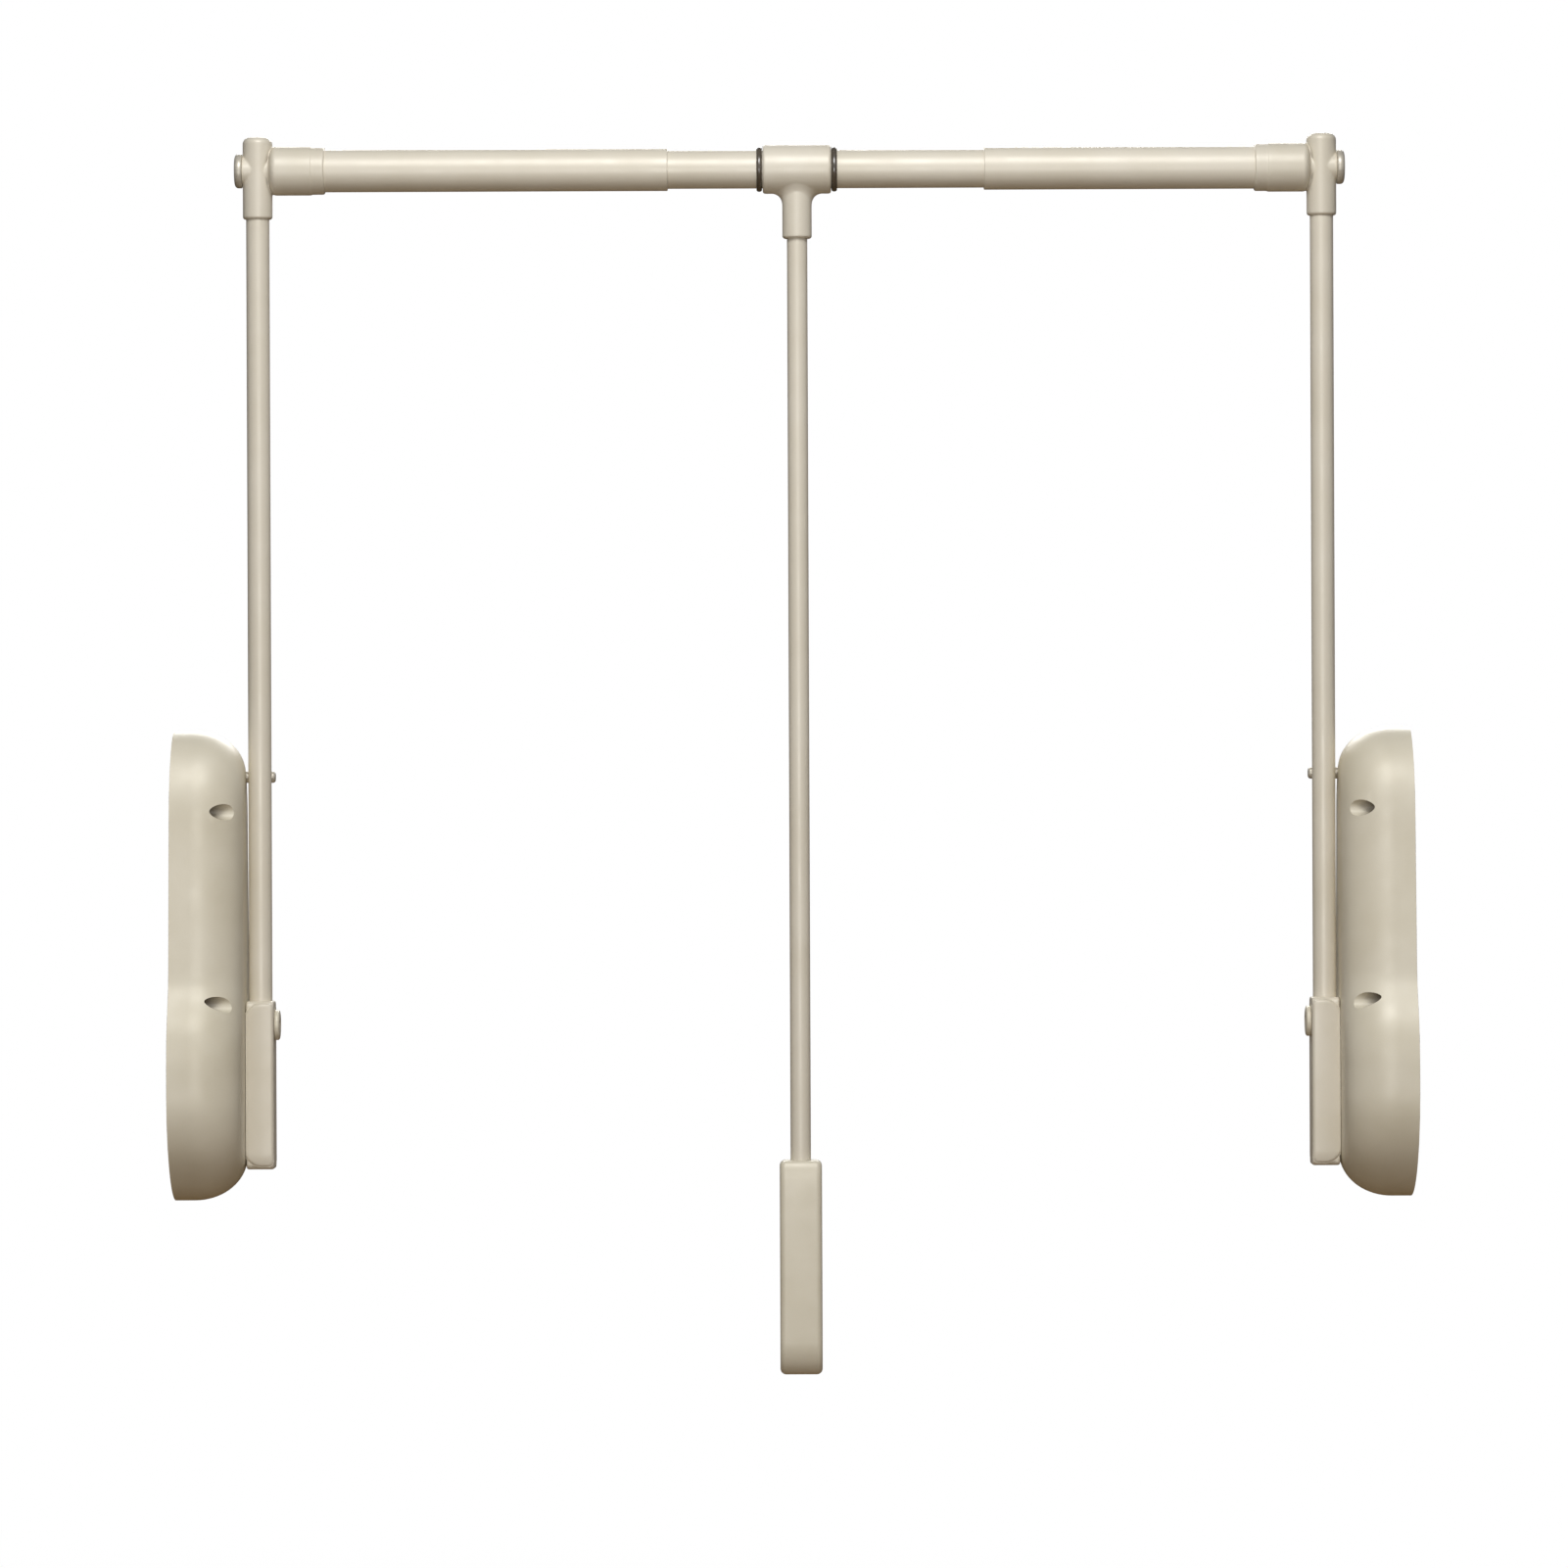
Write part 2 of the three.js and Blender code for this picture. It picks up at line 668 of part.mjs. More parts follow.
// The shelf that the spring pushes against, bent from one strip, with its foot against the wall plate
function springSeat() {
  const near = PLATE_THICK + SEAT_GAP;
  const front = DAMPER_LINE - DAMPER_RADIUS;
  const back = driveY + SHELF_EDGE;
  const shelfTop = SEAT_HEIGHT + SHELF_THICK;
  const shelf = block(near, near + SHELF_DEEP, front, back, SEAT_HEIGHT, shelfTop);
  const foot = block(near, near + SHELF_THICK, front, back, SEAT_HEIGHT, shelfTop + SHELF_FOOT);
  const guideHole = holeZ(GUIDE_RADIUS + RUN_GAP, driveY, SEAT_HEIGHT, shelfTop);
  const rodHole = holeZ(DAMPER_ROD_RADIUS + RUN_GAP, DAMPER_LINE, SEAT_HEIGHT, shelfTop);
  return fuse(shelf, foot).subtract(guideHole).subtract(rodHole);
}

function damperCylinder() {
  const top = SEAT_HEIGHT - SEAT_GAP;
  const floor = top - DAMPER_LONG;
  const bore = DAMPER_RADIUS - DAMPER_WALL;
  const neck = DAMPER_ROD_RADIUS + RUN_GAP;
  return turnedZ(
    [
      [0, floor],
      [DAMPER_RADIUS, floor],
      [DAMPER_RADIUS, top],
      [neck, top],
      [neck, top - DAMPER_FLOOR],
      [bore, top - DAMPER_FLOOR],
      [bore, floor + DAMPER_FLOOR],
      [0, floor + DAMPER_FLOOR],
    ],
    DRIVE_LINE,
    DAMPER_LINE,
    ROUND_SMALL,
  );
}

// The damper's rod with its piston
function damperRod() {
  const foot = SEAT_HEIGHT - DAMPER_ROD_SUNK;
  const top = crossheadTop - SEAT_GAP;
  const piston = DAMPER_RADIUS - DAMPER_WALL - RUN_GAP;
  return turnedZ(
    [
      [0, foot],
      [piston, foot],
      [piston, foot + PISTON_TALL],
      [DAMPER_ROD_RADIUS, foot + PISTON_TALL],
      [DAMPER_ROD_RADIUS, top],
      [0, top],
    ],
    DRIVE_LINE,
    DAMPER_LINE,
    ROUND_SMALL,
  );
}

// The crosshead ties the damper's rod to the guide rod above the shelf
function crosshead() {
  const outline = new THREE.Shape();
  outline.absarc(DRIVE_LINE, driveY, CROSSHEAD_HALF, 0, Math.PI, false);
  outline.absarc(DRIVE_LINE, DAMPER_LINE, CROSSHEAD_HALF, Math.PI, 2 * Math.PI, false);
  const bar = new THREE.ExtrudeGeometry(outline, {
    depth: CROSSHEAD_TALL,
    bevelEnabled: false,
    curveSegments: CORNER_STEPS * 2,
  });
  bar.translate(0, 0, crossheadLow);
  const guideHole = holeZ(GUIDE_RADIUS + SEAT_GAP, driveY, crossheadLow, crossheadTop);
  const rodHole = holeZ(DAMPER_ROD_RADIUS + SEAT_GAP, DAMPER_LINE, crossheadLow, crossheadTop);
  return solid(bar).subtract(guideHole).subtract(rodHole);
}

// The pin that the raised arm leans against
function stopPin() {
  const tip = ROUNDING_STEPS.map((angle) => [
    STOP_RADIUS - STOP_ROUND + STOP_ROUND * Math.cos(angle),
    STOP_TIP - STOP_ROUND + STOP_ROUND * Math.sin(angle),
  ]);
  const root = STOP_ROOT + SEAT_GAP;
  const rows = [[0, root], [STOP_RADIUS, root], ...tip, [0, STOP_TIP]];
  const pin = turnedX(rows, STOP_HEIGHT, ROUND_SMALL);
  pin.translate(0, stopY, 0);
  return pin;
}

// An upright outline whose corners are rounded more on one hand than on the other
function roundedOutline(left, right, low, high, leftRound, rightRound) {
  const nearLeft = left + leftRound;
  const nearRight = right - rightRound;
  const turn = Math.PI / 2;
  return loopOf(
    arc(nearLeft, low + leftRound, leftRound, leftRound, -2 * turn, -turn, CORNER_STEPS),
    arc(nearRight, low + rightRound, rightRound, rightRound, -turn, 0, CORNER_STEPS),
    arc(nearRight, high - rightRound, rightRound, rightRound, 0, turn, CORNER_STEPS),
    arc(nearLeft, high - leftRound, leftRound, leftRound, turn, 2 * turn, CORNER_STEPS),
  );
}

const leverNear = HOUSING_DEEP + LEVER_CLEAR;
const leverFar = leverNear + LEVER_THICK;

// The lever's panels: one outline seen from the front, carried from the back to the front
function leverPanels() {
  const low = PANEL_LEDGE - LEVER_FOOT;
  const high = LEVER_TOP - PANEL_LEDGE;
  const loop = roundedOutline(-leverFar, -leverNear, low, high, PANEL_CORNER, PANEL_ARCH);
  const reach = LEVER_HALF + PANEL_PROUD;
  const panels = loft(loop, roundedStations(-reach, reach, PANEL_EDGE));
  return panels.rotateZ(Math.PI / 2);
}

// The lower half of the lever is open towards the housing, with cross ribs below the hub
function leverPocket() {
  const open = leverNear - OVERRUN;
  const floor = leverFar - LEVER_WALL;
  const half = LEVER_HALF - LEVER_WALL;
  const low = LEVER_WALL - LEVER_FOOT;
  const hubRadius = SHAFT_RADIUS + SEAT_GAP + LEVER_HUB_WALL;
  const hub = barX(hubRadius, open, leverFar, 0, 0, ROUND_HEAD);
  const ribs = [];
  for (let rib = 1; rib <= LEVER_RIBS; rib++) {
    const middle = THREE.MathUtils.lerp(low, -hubRadius, rib / (LEVER_RIBS + 1));
    const under = middle - LEVER_RIB / 2;
    ribs.push(block(leverNear + LEVER_EDGE, leverFar, -LEVER_HALF, LEVER_HALF, under, under + LEVER_RIB));
  }
  return solid(block(open, floor, -half, half, low, 0)).subtract(fuse(hub, ...ribs));
}

function armLever() {
  const side = roundedOutline(-LEVER_HALF, LEVER_HALF, -LEVER_FOOT, LEVER_TOP, LEVER_CORNER, LEVER_CORNER);
  const body = loft(side, roundedStations(leverNear, leverFar, LEVER_EDGE));
  const open = leverNear - OVERRUN;
  const socketFloor = LEVER_TOP - LEVER_SOCKET_DEEP;
  const socket = barZ(TUBE_RADIUS + SEAT_GAP, ARM_LINE, 0, socketFloor, LEVER_TOP + OVERRUN);
  const boreEnd = SHAFT_NOSE + SEAT_GAP;
  const shaftBore = barX(SHAFT_RADIUS + SEAT_GAP, open, boreEnd, 0, 0, ROUND_HEAD);
  const clampEnd = leverFar + OVERRUN;
  const clampRadius = CLAMP_SHANK_RADIUS + SEAT_GAP;
  const clampHole = barX(clampRadius, ARM_LINE, clampEnd, 0, CLAMP_HEIGHT, ROUND_SMALL);
  return fuse(body, leverPanels())
    .subtract(leverPocket())
    .subtract(solid(socket))
    .subtract(solid(shaftBore))
    .subtract(solid(clampHole));
}

// The round-headed screw that clamps the tube in the lever
function clampScrew() {
  const seat = leverFar + SEAT_GAP;
  const top = seat + CLAMP_HEAD_TALL;
  return turnedX(
    [
      [0, CLAMP_SHANK_TIP],
      [CLAMP_SHANK_RADIUS, CLAMP_SHANK_TIP],
      [CLAMP_SHANK_RADIUS, seat],
      [CLAMP_HEAD_RADIUS, seat],
      [CLAMP_HEAD_RADIUS, top - CLAMP_HEAD_SOFT],
      [CLAMP_HEAD_RADIUS - CLAMP_HEAD_SOFT, top],
      [CLAMP_SOCKET_RADIUS, top],
      [CLAMP_SOCKET_RADIUS, top - CLAMP_SOCKET_DEEP],
      [0, top - CLAMP_SOCKET_DEEP],
    ],
    CLAMP_HEIGHT,
    ROUND_HEAD,
  );
}

function armTube() {
  const foot = LEVER_TOP - LEVER_SOCKET_DEEP + SEAT_GAP;
  const head = ARM_REACH - POST_BELOW + POST_SOCKET_DEEP - SEAT_GAP;
  const rows = pipeRows(TUBE_RADIUS, TUBE_RADIUS - TUBE_WALL, foot, head);
  const holeEnd = ARM_LINE + TUBE_RADIUS + OVERRUN;
  const holeRadius = CLAMP_SHANK_RADIUS + SEAT_GAP;
  const hole = barX(holeRadius, ARM_LINE, holeEnd, 0, CLAMP_HEIGHT, ROUND_SMALL);
  return solid(turnedZ(rows, ARM_LINE, 0)).subtract(solid(hole));
}

// The corner elbow: a domed post on the arm tube, and a sleeve that grows out of it for the rod
function cornerElbow() {
  const low = ARM_REACH - POST_BELOW;
  const high = ARM_REACH + POST_ABOVE;
  const dome = ROUNDING_STEPS.map((angle) => [
    POST_RADIUS - POST_DOME + POST_DOME * Math.cos(angle),
    high - POST_DOME + POST_DOME * Math.sin(angle),
  ]);
  const post = turnedZ(
    [[0, low], [POST_RADIUS - POST_LIP, low], [POST_RADIUS, low + POST_LIP], ...dome, [0, high]],
    ARM_LINE,
    0,
    ROUND,
  );
  const spot = barX(BOLT_HEAD_RADIUS, ARM_LINE - POST_RADIUS, ARM_LINE, 0, ARM_REACH);
  const boltHole = barX(
    BOLT_SHANK_RADIUS + SEAT_GAP,
    ARM_LINE - POST_RADIUS - OVERRUN,
    SLEEVE_FLOOR + OVERRUN,
    0,
    ARM_REACH,
    ROUND_SMALL,
  );
  const socketTop = low + POST_SOCKET_DEEP;
  const socket = barZ(TUBE_RADIUS + SEAT_GAP, ARM_LINE, 0, low - OVERRUN, socketTop);
  const bore = barX(OUTER_RADIUS + SEAT_GAP, SLEEVE_FLOOR, SLEEVE_MOUTH + OVERRUN, 0, ARM_REACH);
  return fuse(post, spot, sleeve())
    .subtract(solid(socket))
    .subtract(solid(boltHole))
    .subtract(solid(bore));
}

// The sleeve, solid: a rounded shoulder, a slight taper and a slimmer band at the mouth
function sleeve() {
  const shoulder = ROUNDING_STEPS.map((angle) => [
    SLEEVE_ROOT_RADIUS - SLEEVE_SHOULDER + SLEEVE_SHOULDER * Math.sin(angle),
    SLEEVE_START + SLEEVE_SHOULDER * (1 - Math.cos(angle)),
  ]);
  const band = SLEEVE_MOUTH - SLEEVE_LIP;
  return turnedX(
    [
      [0, SLEEVE_START],
      ...shoulder,
      [SLEEVE_MOUTH_RADIUS + SLEEVE_LIP_DEEP, band - SLEEVE_LIP_DEEP],
      [SLEEVE_MOUTH_RADIUS, band],
      [SLEEVE_MOUTH_RADIUS, SLEEVE_MOUTH - SLEEVE_CHAMFER],
      [SLEEVE_MOUTH_RADIUS - SLEEVE_CHAMFER, SLEEVE_MOUTH],
      [0, SLEEVE_MOUTH],
    ],
    ARM_REACH,
  );
}

// The bolt from outside through the elbow into the plug, with a round socket head
function elbowBolt() {
  const seat = ARM_LINE - POST_RADIUS - SEAT_GAP;
  const top = seat - BOLT_HEAD_TALL;
  return turnedX(
    [
      [0, top + BOLT_SOCKET_DEEP],
      [BOLT_SOCKET_RADIUS, top + BOLT_SOCKET_DEEP],
      [BOLT_SOCKET_RADIUS, top],
      [BOLT_HEAD_RADIUS - BOLT_HEAD_DOME, top],
      [BOLT_HEAD_RADIUS, top + BOLT_HEAD_DOME],
      [BOLT_HEAD_RADIUS, seat],
      [BOLT_SHANK_RADIUS, seat],
      [BOLT_SHANK_RADIUS, BOLT_TIP],
      [0, BOLT_TIP],
    ],
    ARM_REACH,
    ROUND_HEAD,
  );
}

const outerStart = SLEEVE_FLOOR + SEAT_GAP;

// The plug in the end of the outer tube that the elbow bolt draws up
function rodPlug() {
  const bore = BOLT_SHANK_RADIUS + SEAT_GAP;
  const outside = OUTER_RADIUS - OUTER_WALL - SEAT_GAP;
  const rows = pipeRows(outside, bore, outerStart, outerStart + PLUG_LONG);
  return turnedX(rows, ARM_REACH, ROUND_HEAD);
}

// The tee stands between its two stop rings; both outer tubes end where the bare inner tube starts
const teePlace = SPAN * TEE_SHARE;
const leftRing = teePlace - TEE_LONG / 2 - SEAT_GAP - RING_WIDE;
const rightRing = teePlace + TEE_LONG / 2 + SEAT_GAP + RING_WIDE;
const leftOuterEnd = leftRing - LEFT_BARE;
const rightOuterEnd = SPAN - rightRing - RIGHT_BARE;

function outerTube(end) {
  return turnedX(pipeRows(OUTER_RADIUS, OUTER_RADIUS - OUTER_WALL, outerStart, end), ARM_REACH);
}

function innerTube() {
  const from = leftOuterEnd - ENGAGED;
  const to = SPAN - rightOuterEnd + ENGAGED;
  return turnedX(pipeRows(INNER_RADIUS, INNER_RADIUS - INNER_WALL, from, to), ARM_REACH);
}

function stopRing(from) {
  const bore = INNER_RADIUS + SEAT_GAP;
  const to = from + RING_WIDE;
  return turnedX(
    [
      [bore, from],
      [RING_RADIUS - RING_ROUND, from],
      [RING_RADIUS, from + RING_ROUND],
      [RING_RADIUS, to - RING_ROUND],
      [RING_RADIUS - RING_ROUND, to],
      [bore, to],
      [bore, from],
    ],
    ARM_REACH,
  );
}

// The tee turns freely on the inner tube; its stem flares into the collar
function tee() {
  const left = teePlace - TEE_LONG / 2;
  const right = teePlace + TEE_LONG / 2;
  const collar = turnedX(
    [
      [0, left],
      [TEE_RADIUS - TEE_CHAMFER, left],
      [TEE_RADIUS, left + TEE_CHAMFER],
      [TEE_RADIUS, right - TEE_CHAMFER],
      [TEE_RADIUS - TEE_CHAMFER, right],
      [0, right],
    ],
    ARM_REACH,
  );
  const mouth = ARM_REACH - TEE_STEM_LONG;
  const flareTop = ARM_REACH - TEE_RADIUS + TEE_FLARE_SUNK;
  const flare = ROUNDING_STEPS.map((angle) => [
    TEE_STEM_RADIUS + TEE_FLARE * (1 - Math.cos(angle)),
    flareTop - TEE_FLARE + TEE_FLARE * Math.sin(angle),
  ]);
  const stem = turnedZ(
    [
      [0, mouth],
      [TEE_STEM_RADIUS - TEE_STEM_LIP, mouth],
      [TEE_STEM_RADIUS, mouth + TEE_STEM_LIP],
      ...flare,
      [0, flareTop],
    ],
    teePlace,
    0,
  );
  const bore = barX(INNER_RADIUS + RUN_GAP, left - OVERRUN, right + OVERRUN, 0, ARM_REACH);
  const socketTop = mouth + TEE_SOCKET_DEEP;
  const socket = barZ(PULL_RADIUS + SEAT_GAP, teePlace, 0, mouth - OVERRUN, socketTop);
  return fuse(collar, stem).subtract(solid(bore)).subtract(solid(socket));
}

function pullRod() {
  const top = ARM_REACH - TEE_STEM_LONG + TEE_SOCKET_DEEP - SEAT_GAP;
  const foot = GRIP_TOP - GRIP_SOCKET_DEEP + SEAT_GAP;
  return turnedZ(pipeRows(PULL_RADIUS, PULL_RADIUS - PULL_WALL, foot, top), teePlace, 0);
}

// Grip outline from the side: round foot, swelling flanks, soft top corners
function gripOutline() {
  const half = GRIP_DEEP / 2;
  const halfTop = GRIP_DEEP_TOP / 2;
  const footCentre = GRIP_TOP - GRIP_TALL + GRIP_ROUND_FOOT;
  const shoulder = GRIP_TOP - GRIP_ROUND_TOP;
  const backFlank = [
    [half, footCentre],
    [half, (footCentre + shoulder) / 2],
    [halfTop, shoulder],
  ];
  const backCorner = [
    [halfTop, shoulder],
    [halfTop, GRIP_TOP],
    [halfTop - GRIP_ROUND_TOP, GRIP_TOP],
  ];
  return loopOf(
    arc(0, footCentre, half, GRIP_ROUND_FOOT, -Math.PI, 0, CROWN_STEPS),
    bend(backFlank, CORNER_STEPS),
    bend(backCorner, CORNER_STEPS),
    bend(mirrored(backCorner), CORNER_STEPS),
    bend(mirrored(backFlank), CORNER_STEPS),
  );
}

function grip() {
  const left = teePlace - GRIP_WIDE / 2;
  const right = teePlace + GRIP_WIDE / 2;
  const body = loft(gripOutline(), roundedStations(left, right, GRIP_EDGE));
  const floor = GRIP_TOP - GRIP_SOCKET_DEEP;
  const socket = barZ(PULL_RADIUS + SEAT_GAP, teePlace, 0, floor, GRIP_TOP + OVERRUN);
  return solid(body).subtract(solid(socket));
}

// Assembly
function piece(name, shape, material) {
  const geometry = shape.isBufferGeometry ? shape : geometryOf(shape);
  const mesh = new THREE.Mesh(geometry, material);
  mesh.name = name;
  return mesh;
}

function sidePieces(side, outerEnd) {
  const group = new THREE.Group();
  const rows = [
    ["housing_cover", housingCover(), champagne],
    ["base_plate", basePlate(), zinc],
    ["pivot_shaft", pivotShaft(), steel],
    ["pivot_bush", pivotBush(), black],
    ["crank", crank(), steel],
    ["spring_yoke", springYoke(), zinc],
    ["guide_rod", guideRod(), steel],
    ["lift_spring", liftSpring(), steel],
    ["spring_seat", springSeat(), zinc],
    ["damper_cylinder", damperCylinder(), steel],
    ["damper_rod", damperRod(), steel],
    ["crosshead", crosshead(), zinc],
    ["stop_pin", stopPin(), zinc],
    ["arm_lever", armLever(), champagne],
    ["clamp_screw", clampScrew(), champagne],
    ["arm_tube", armTube(), champagne],
    ["corner_elbow", cornerElbow(), champagne],
    ["elbow_bolt", elbowBolt(), zinc],
    ["rod_plug", rodPlug(), black],
    ["outer_tube", outerTube(outerEnd), champagne],
  ];
  rows.forEach(([name, shape, material]) => group.add(piece(side + "_" + name, shape, material)));
  return group;
}

function closetRod() {
  const lift = new THREE.Group();
  lift.add(sidePieces("left", leftOuterEnd));
  const right = sidePieces("right", rightOuterEnd);
  right.scale.x = -1;
  right.position.x = SPAN;
  lift.add(right);
  lift.add(piece("inner_tube", innerTube(), champagne));
  lift.add(piece("left_stop_ring", stopRing(leftRing), black));
  lift.add(piece("right_stop_ring", stopRing(rightRing - RING_WIDE), black));
  lift.add(piece("tee", tee(), champagne));
  lift.add(piece("pull_rod", pullRod(), champagne));
  lift.add(piece("grip", grip(), champagne));
  return lift;
}

export default closetRod();
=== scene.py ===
import math

import bmesh
import bpy
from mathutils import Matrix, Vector


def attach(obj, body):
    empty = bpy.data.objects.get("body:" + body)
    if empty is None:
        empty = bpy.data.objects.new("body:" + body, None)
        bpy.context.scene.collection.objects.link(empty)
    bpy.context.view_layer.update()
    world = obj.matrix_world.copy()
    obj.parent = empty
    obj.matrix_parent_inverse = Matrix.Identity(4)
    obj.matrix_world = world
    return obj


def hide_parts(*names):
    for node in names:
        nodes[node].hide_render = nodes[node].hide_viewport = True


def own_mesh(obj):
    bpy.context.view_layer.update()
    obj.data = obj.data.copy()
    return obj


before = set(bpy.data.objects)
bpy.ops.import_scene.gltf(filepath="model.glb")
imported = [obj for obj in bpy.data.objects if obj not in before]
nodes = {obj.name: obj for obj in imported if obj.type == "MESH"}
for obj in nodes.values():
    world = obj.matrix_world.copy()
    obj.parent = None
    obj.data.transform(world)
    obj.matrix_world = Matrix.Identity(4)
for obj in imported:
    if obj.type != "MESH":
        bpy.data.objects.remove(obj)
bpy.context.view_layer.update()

MM = 0.001

SIDES = ("left", "right")

# Sizes in millimetres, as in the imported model. SPAN lies between the walls, REACH is the height of the
# hanging rod's axis, and ARM_LINE is the distance from the wall to the middle of the arm tube
SPAN = 850.0
REACH = 634.0
ARM_LINE = 59.0

# How far a cutter runs past what it cuts
OVERRUN = 2.0

# Housing: a round lobe about the shaft, a neck and an arched crown
LOBE_RADIUS = 74.0
LOBE_TOP = 18.0
LOBE_PULL = 38.0
NECK_PULL = 22.0
NECK_HALF = 54.5
NECK_HEIGHT = 86.0
CROWN_HALF = 47.0
CROWN_BASE = 185.0
CROWN_RISE = 64.0
HOUSING_DEEP = 49.0
RIM_STRAIGHT = 14.0
DOME_INSET = 29.0
COVER_WALL = 2.5
COVER_LIFT = 0.4
SCREW_LEVELS = (193.0, 62.0)
STOP_LINE = 12.3
STOP_HEIGHT = 217.0
STOP_HOLE = 4.3
STOP_HOLE_START = 37.0
BUSH_HOLE = 11.1
BUSH_HOLE_START = 40.0
FACE_HOLE_END = 60.0
CHANNEL_INSET = 8.0
CHANNEL_RADIUS = 5.6
CHANNEL_FLOOR = 6.0
SCREW_HOLE = 3.2
BOSS_RADIUS = 8.0
BOSS_FOOT = 2.8
BOSS_SKIN = 0.8

# Lever: a body with two raised panels, a socket for the tube and a ribbed pocket toward the wall
LEVER_NEAR = 49.6
LEVER_FAR = 68.6
LEVER_TOP = 63.0
LEVER_FOOT = -52.5
LEVER_HALF = 12.8
LEVER_CORNER = 4.0
LEVER_EDGE = 1.4
LEVER_FACE_TRIM = 0.2
PANEL_HALF = 15.0
PANEL_LEDGE = 1.4
PANEL_BACK = 3.6
PANEL_CREST = 61.0
PANEL_REACH = 12.0
PANEL_BOW = 1.3
PANEL_ARCH = (14.0, 18.0)
PANEL_EDGE = 2.2
FOOT_RISE = 11.0
FOOT_BOW = 2.0
CLAMP_HEIGHT = 46.5
CLAMP_HOLE = 3.3
CLAMP_HOLE_DEEP = 12.0
ARM_SOCKET = 8.3
LEVER_SOCKET_DEEP = 38.0
SHAFT_BORE = 7.3
SHAFT_BORE_END = 64.3
POCKET_HALF = 9.8
POCKET_FOOT = -49.5
HUB_RADIUS = 12.3
POCKET_CEILING = 3.0
RIB_LEVELS = (-37.1, -24.7)
RIB_HALF = 1.2
RIB_REACH = 12.0
RIB_SET_BACK = 1.2

# Clamp screw: a round head with a sunk middle on a plain shank
CAP_LIFT = 0.3
CAP_RADIUS = 10.5
CAP_TALL = 3.4
WELL_RADIUS = 3.0
WELL_FLOOR = 2.0
SHANK_RADIUS = 3.0
SHANK_END = 60.0

# Stop pin: a stud with a rounded tip
PIN_RADIUS = 4.0
PIN_ROOT = 37.3
PIN_END = 69.0
PIN_ROUND = 2.0

# Corner elbow and its bolt
POST_RADIUS = 10.2
POST_MOUTH = 9.1
POST_CHAMFER = 1.2
POST_DROP = 33.4
POST_RISE = 23.0
POST_DOME = 4.6
ELBOW_SOCKET_DEEP = 22.0
SLEEVE_ROOT = [(0.0, 60.0), (8.6, 60.0), (9.0, 66.6)]
SHOULDER_START = (9.7, 67.4)
SHOULDER_WIDE = 7.2
SHOULDER_LONG = 4.2
SLEEVE_LIP = [(16.9, 95.9), (16.4, 96.5), (16.4, 104.3), (16.1, 105.1), (15.4, 105.4), (0.0, 105.4)]
SLEEVE_BORE = 15.05
SLEEVE_BORE_START = 76.7
SLEEVE_BORE_END = 108.0
BOLT_SEAT_RADIUS = 9.6
BOLT_SEAT_PROUD = 10.4
BOLT_SEAT = ARM_LINE - 10.6
BOLT_TALL = 5.0
BOLT_RADIUS = 11.8
BOLT_SHANK = 4.0
BOLT_SHANK_END = 88.0
BOLT_KEY = 4.4
BOLT_KEY_DEEP = 3.0
BOLT_HOLE = 4.3
BOLT_HOLE_START = ARM_LINE - 14.0
BOLT_HOLE_END = 79.0

# Tubes: outer radius, inner radius, both ends and the soft edge
ARM_PIPE = (8.0, 6.8, 25.3, 622.3, 0.4)
PULL_PIPE = (7.0, 5.8, -87.7, 611.7, 0.4)
LEFT_OUTER_PIPE = (14.75, 13.75, 77.0, 341.2, 0.35)
RIGHT_OUTER_PIPE = (14.75, 13.75, 558.8, 773.0, 0.35)
INNER_PIPE = (13.3, 12.3, 281.2, 618.8, 0.3)

# Stop rings: where each starts, its width and radii, and how far it bulges outward and along the rod
RING_STARTS = (402.2, 453.8)
RING_WIDE = 4.0
RING_FOOT_SHORT = 0.1
RING_INSIDE = 13.6
RING_RADIUS = 14.4
RING_BULGE = (1.2, 1.9)

# Tee and grip hang under TEE_PLACE on the rod
TEE_PLACE = 430.1
TEE_HALF = 23.5
TEE_RADIUS = 17.0
TEE_BORE = 13.6
TEE_DROP = 48.0
TEE_ROUND = ((1.4, 0.0), (0.6, 0.3), (0.0, 1.4))
TEE_SOCKET_DEEP = 26.0
STEM_RADIUS = 10.1
STEM_CHAMFER = 1.2
STEM_ROOT = 8.0
SADDLE_RADIUS = 16.85
SKIRT_SPREAD = 9.0
SKIRT_SPREAD_LESS = 5.0
SKIRT_DROP = 9.0
SKIRT_DROP_LESS = 1.5
PULL_SOCKET = 7.3
GRIP_TOP = -48.0
GRIP_TALL = 147.5
GRIP_HALF = 15.5
GRIP_HALF_TOP = 13.0
GRIP_FOOT_RISE = 23.0
GRIP_HALF_WIDE = 14.5
GRIP_EDGE = 4.0
GRIP_SHOULDER_DROP = 13.0
GRIP_SOCKET_DEEP = 40.0

# Steps round a full turn: coarse for drilled holes, fine for the wide tubes
COARSE = 32
SMALL_ROUND = 48
BOSS_ROUND = 50
MEDIUM = 64
FINE = 96

# Camera, with its place in metres: straight on, with the photograph's frame and its slight roll
PHOTO_PIXELS = 1601
MM_PER_PIXEL = 0.674
FRAME_WIDE = PHOTO_PIXELS * MM_PER_PIXEL * MM
SENSOR = 36.0
STAND_OFF = 4.66
CAMERA_AT = (0.4196, -STAND_OFF, 0.2108)
CAMERA_ROLL = 0.23

# Stage, in metres
FLOOR_LEVEL = -0.62
FLOOR_REACH = 14.0
FLOOR_COLOUR = (0.215, 0.145, 0.075, 1.0)
FLOOR_SEEN_WHITE = 0.965
SHADOW_REACH = (1.2, 3.0)
GLOSS_SEES_WHITE = 0.15
LAMP_COLOUR = (0.975, 0.985, 1.0)
MIDDLE = (0.42, 0.0, 0.25)
LOW_MIDDLE = (0.38, 0.0, 0.2)


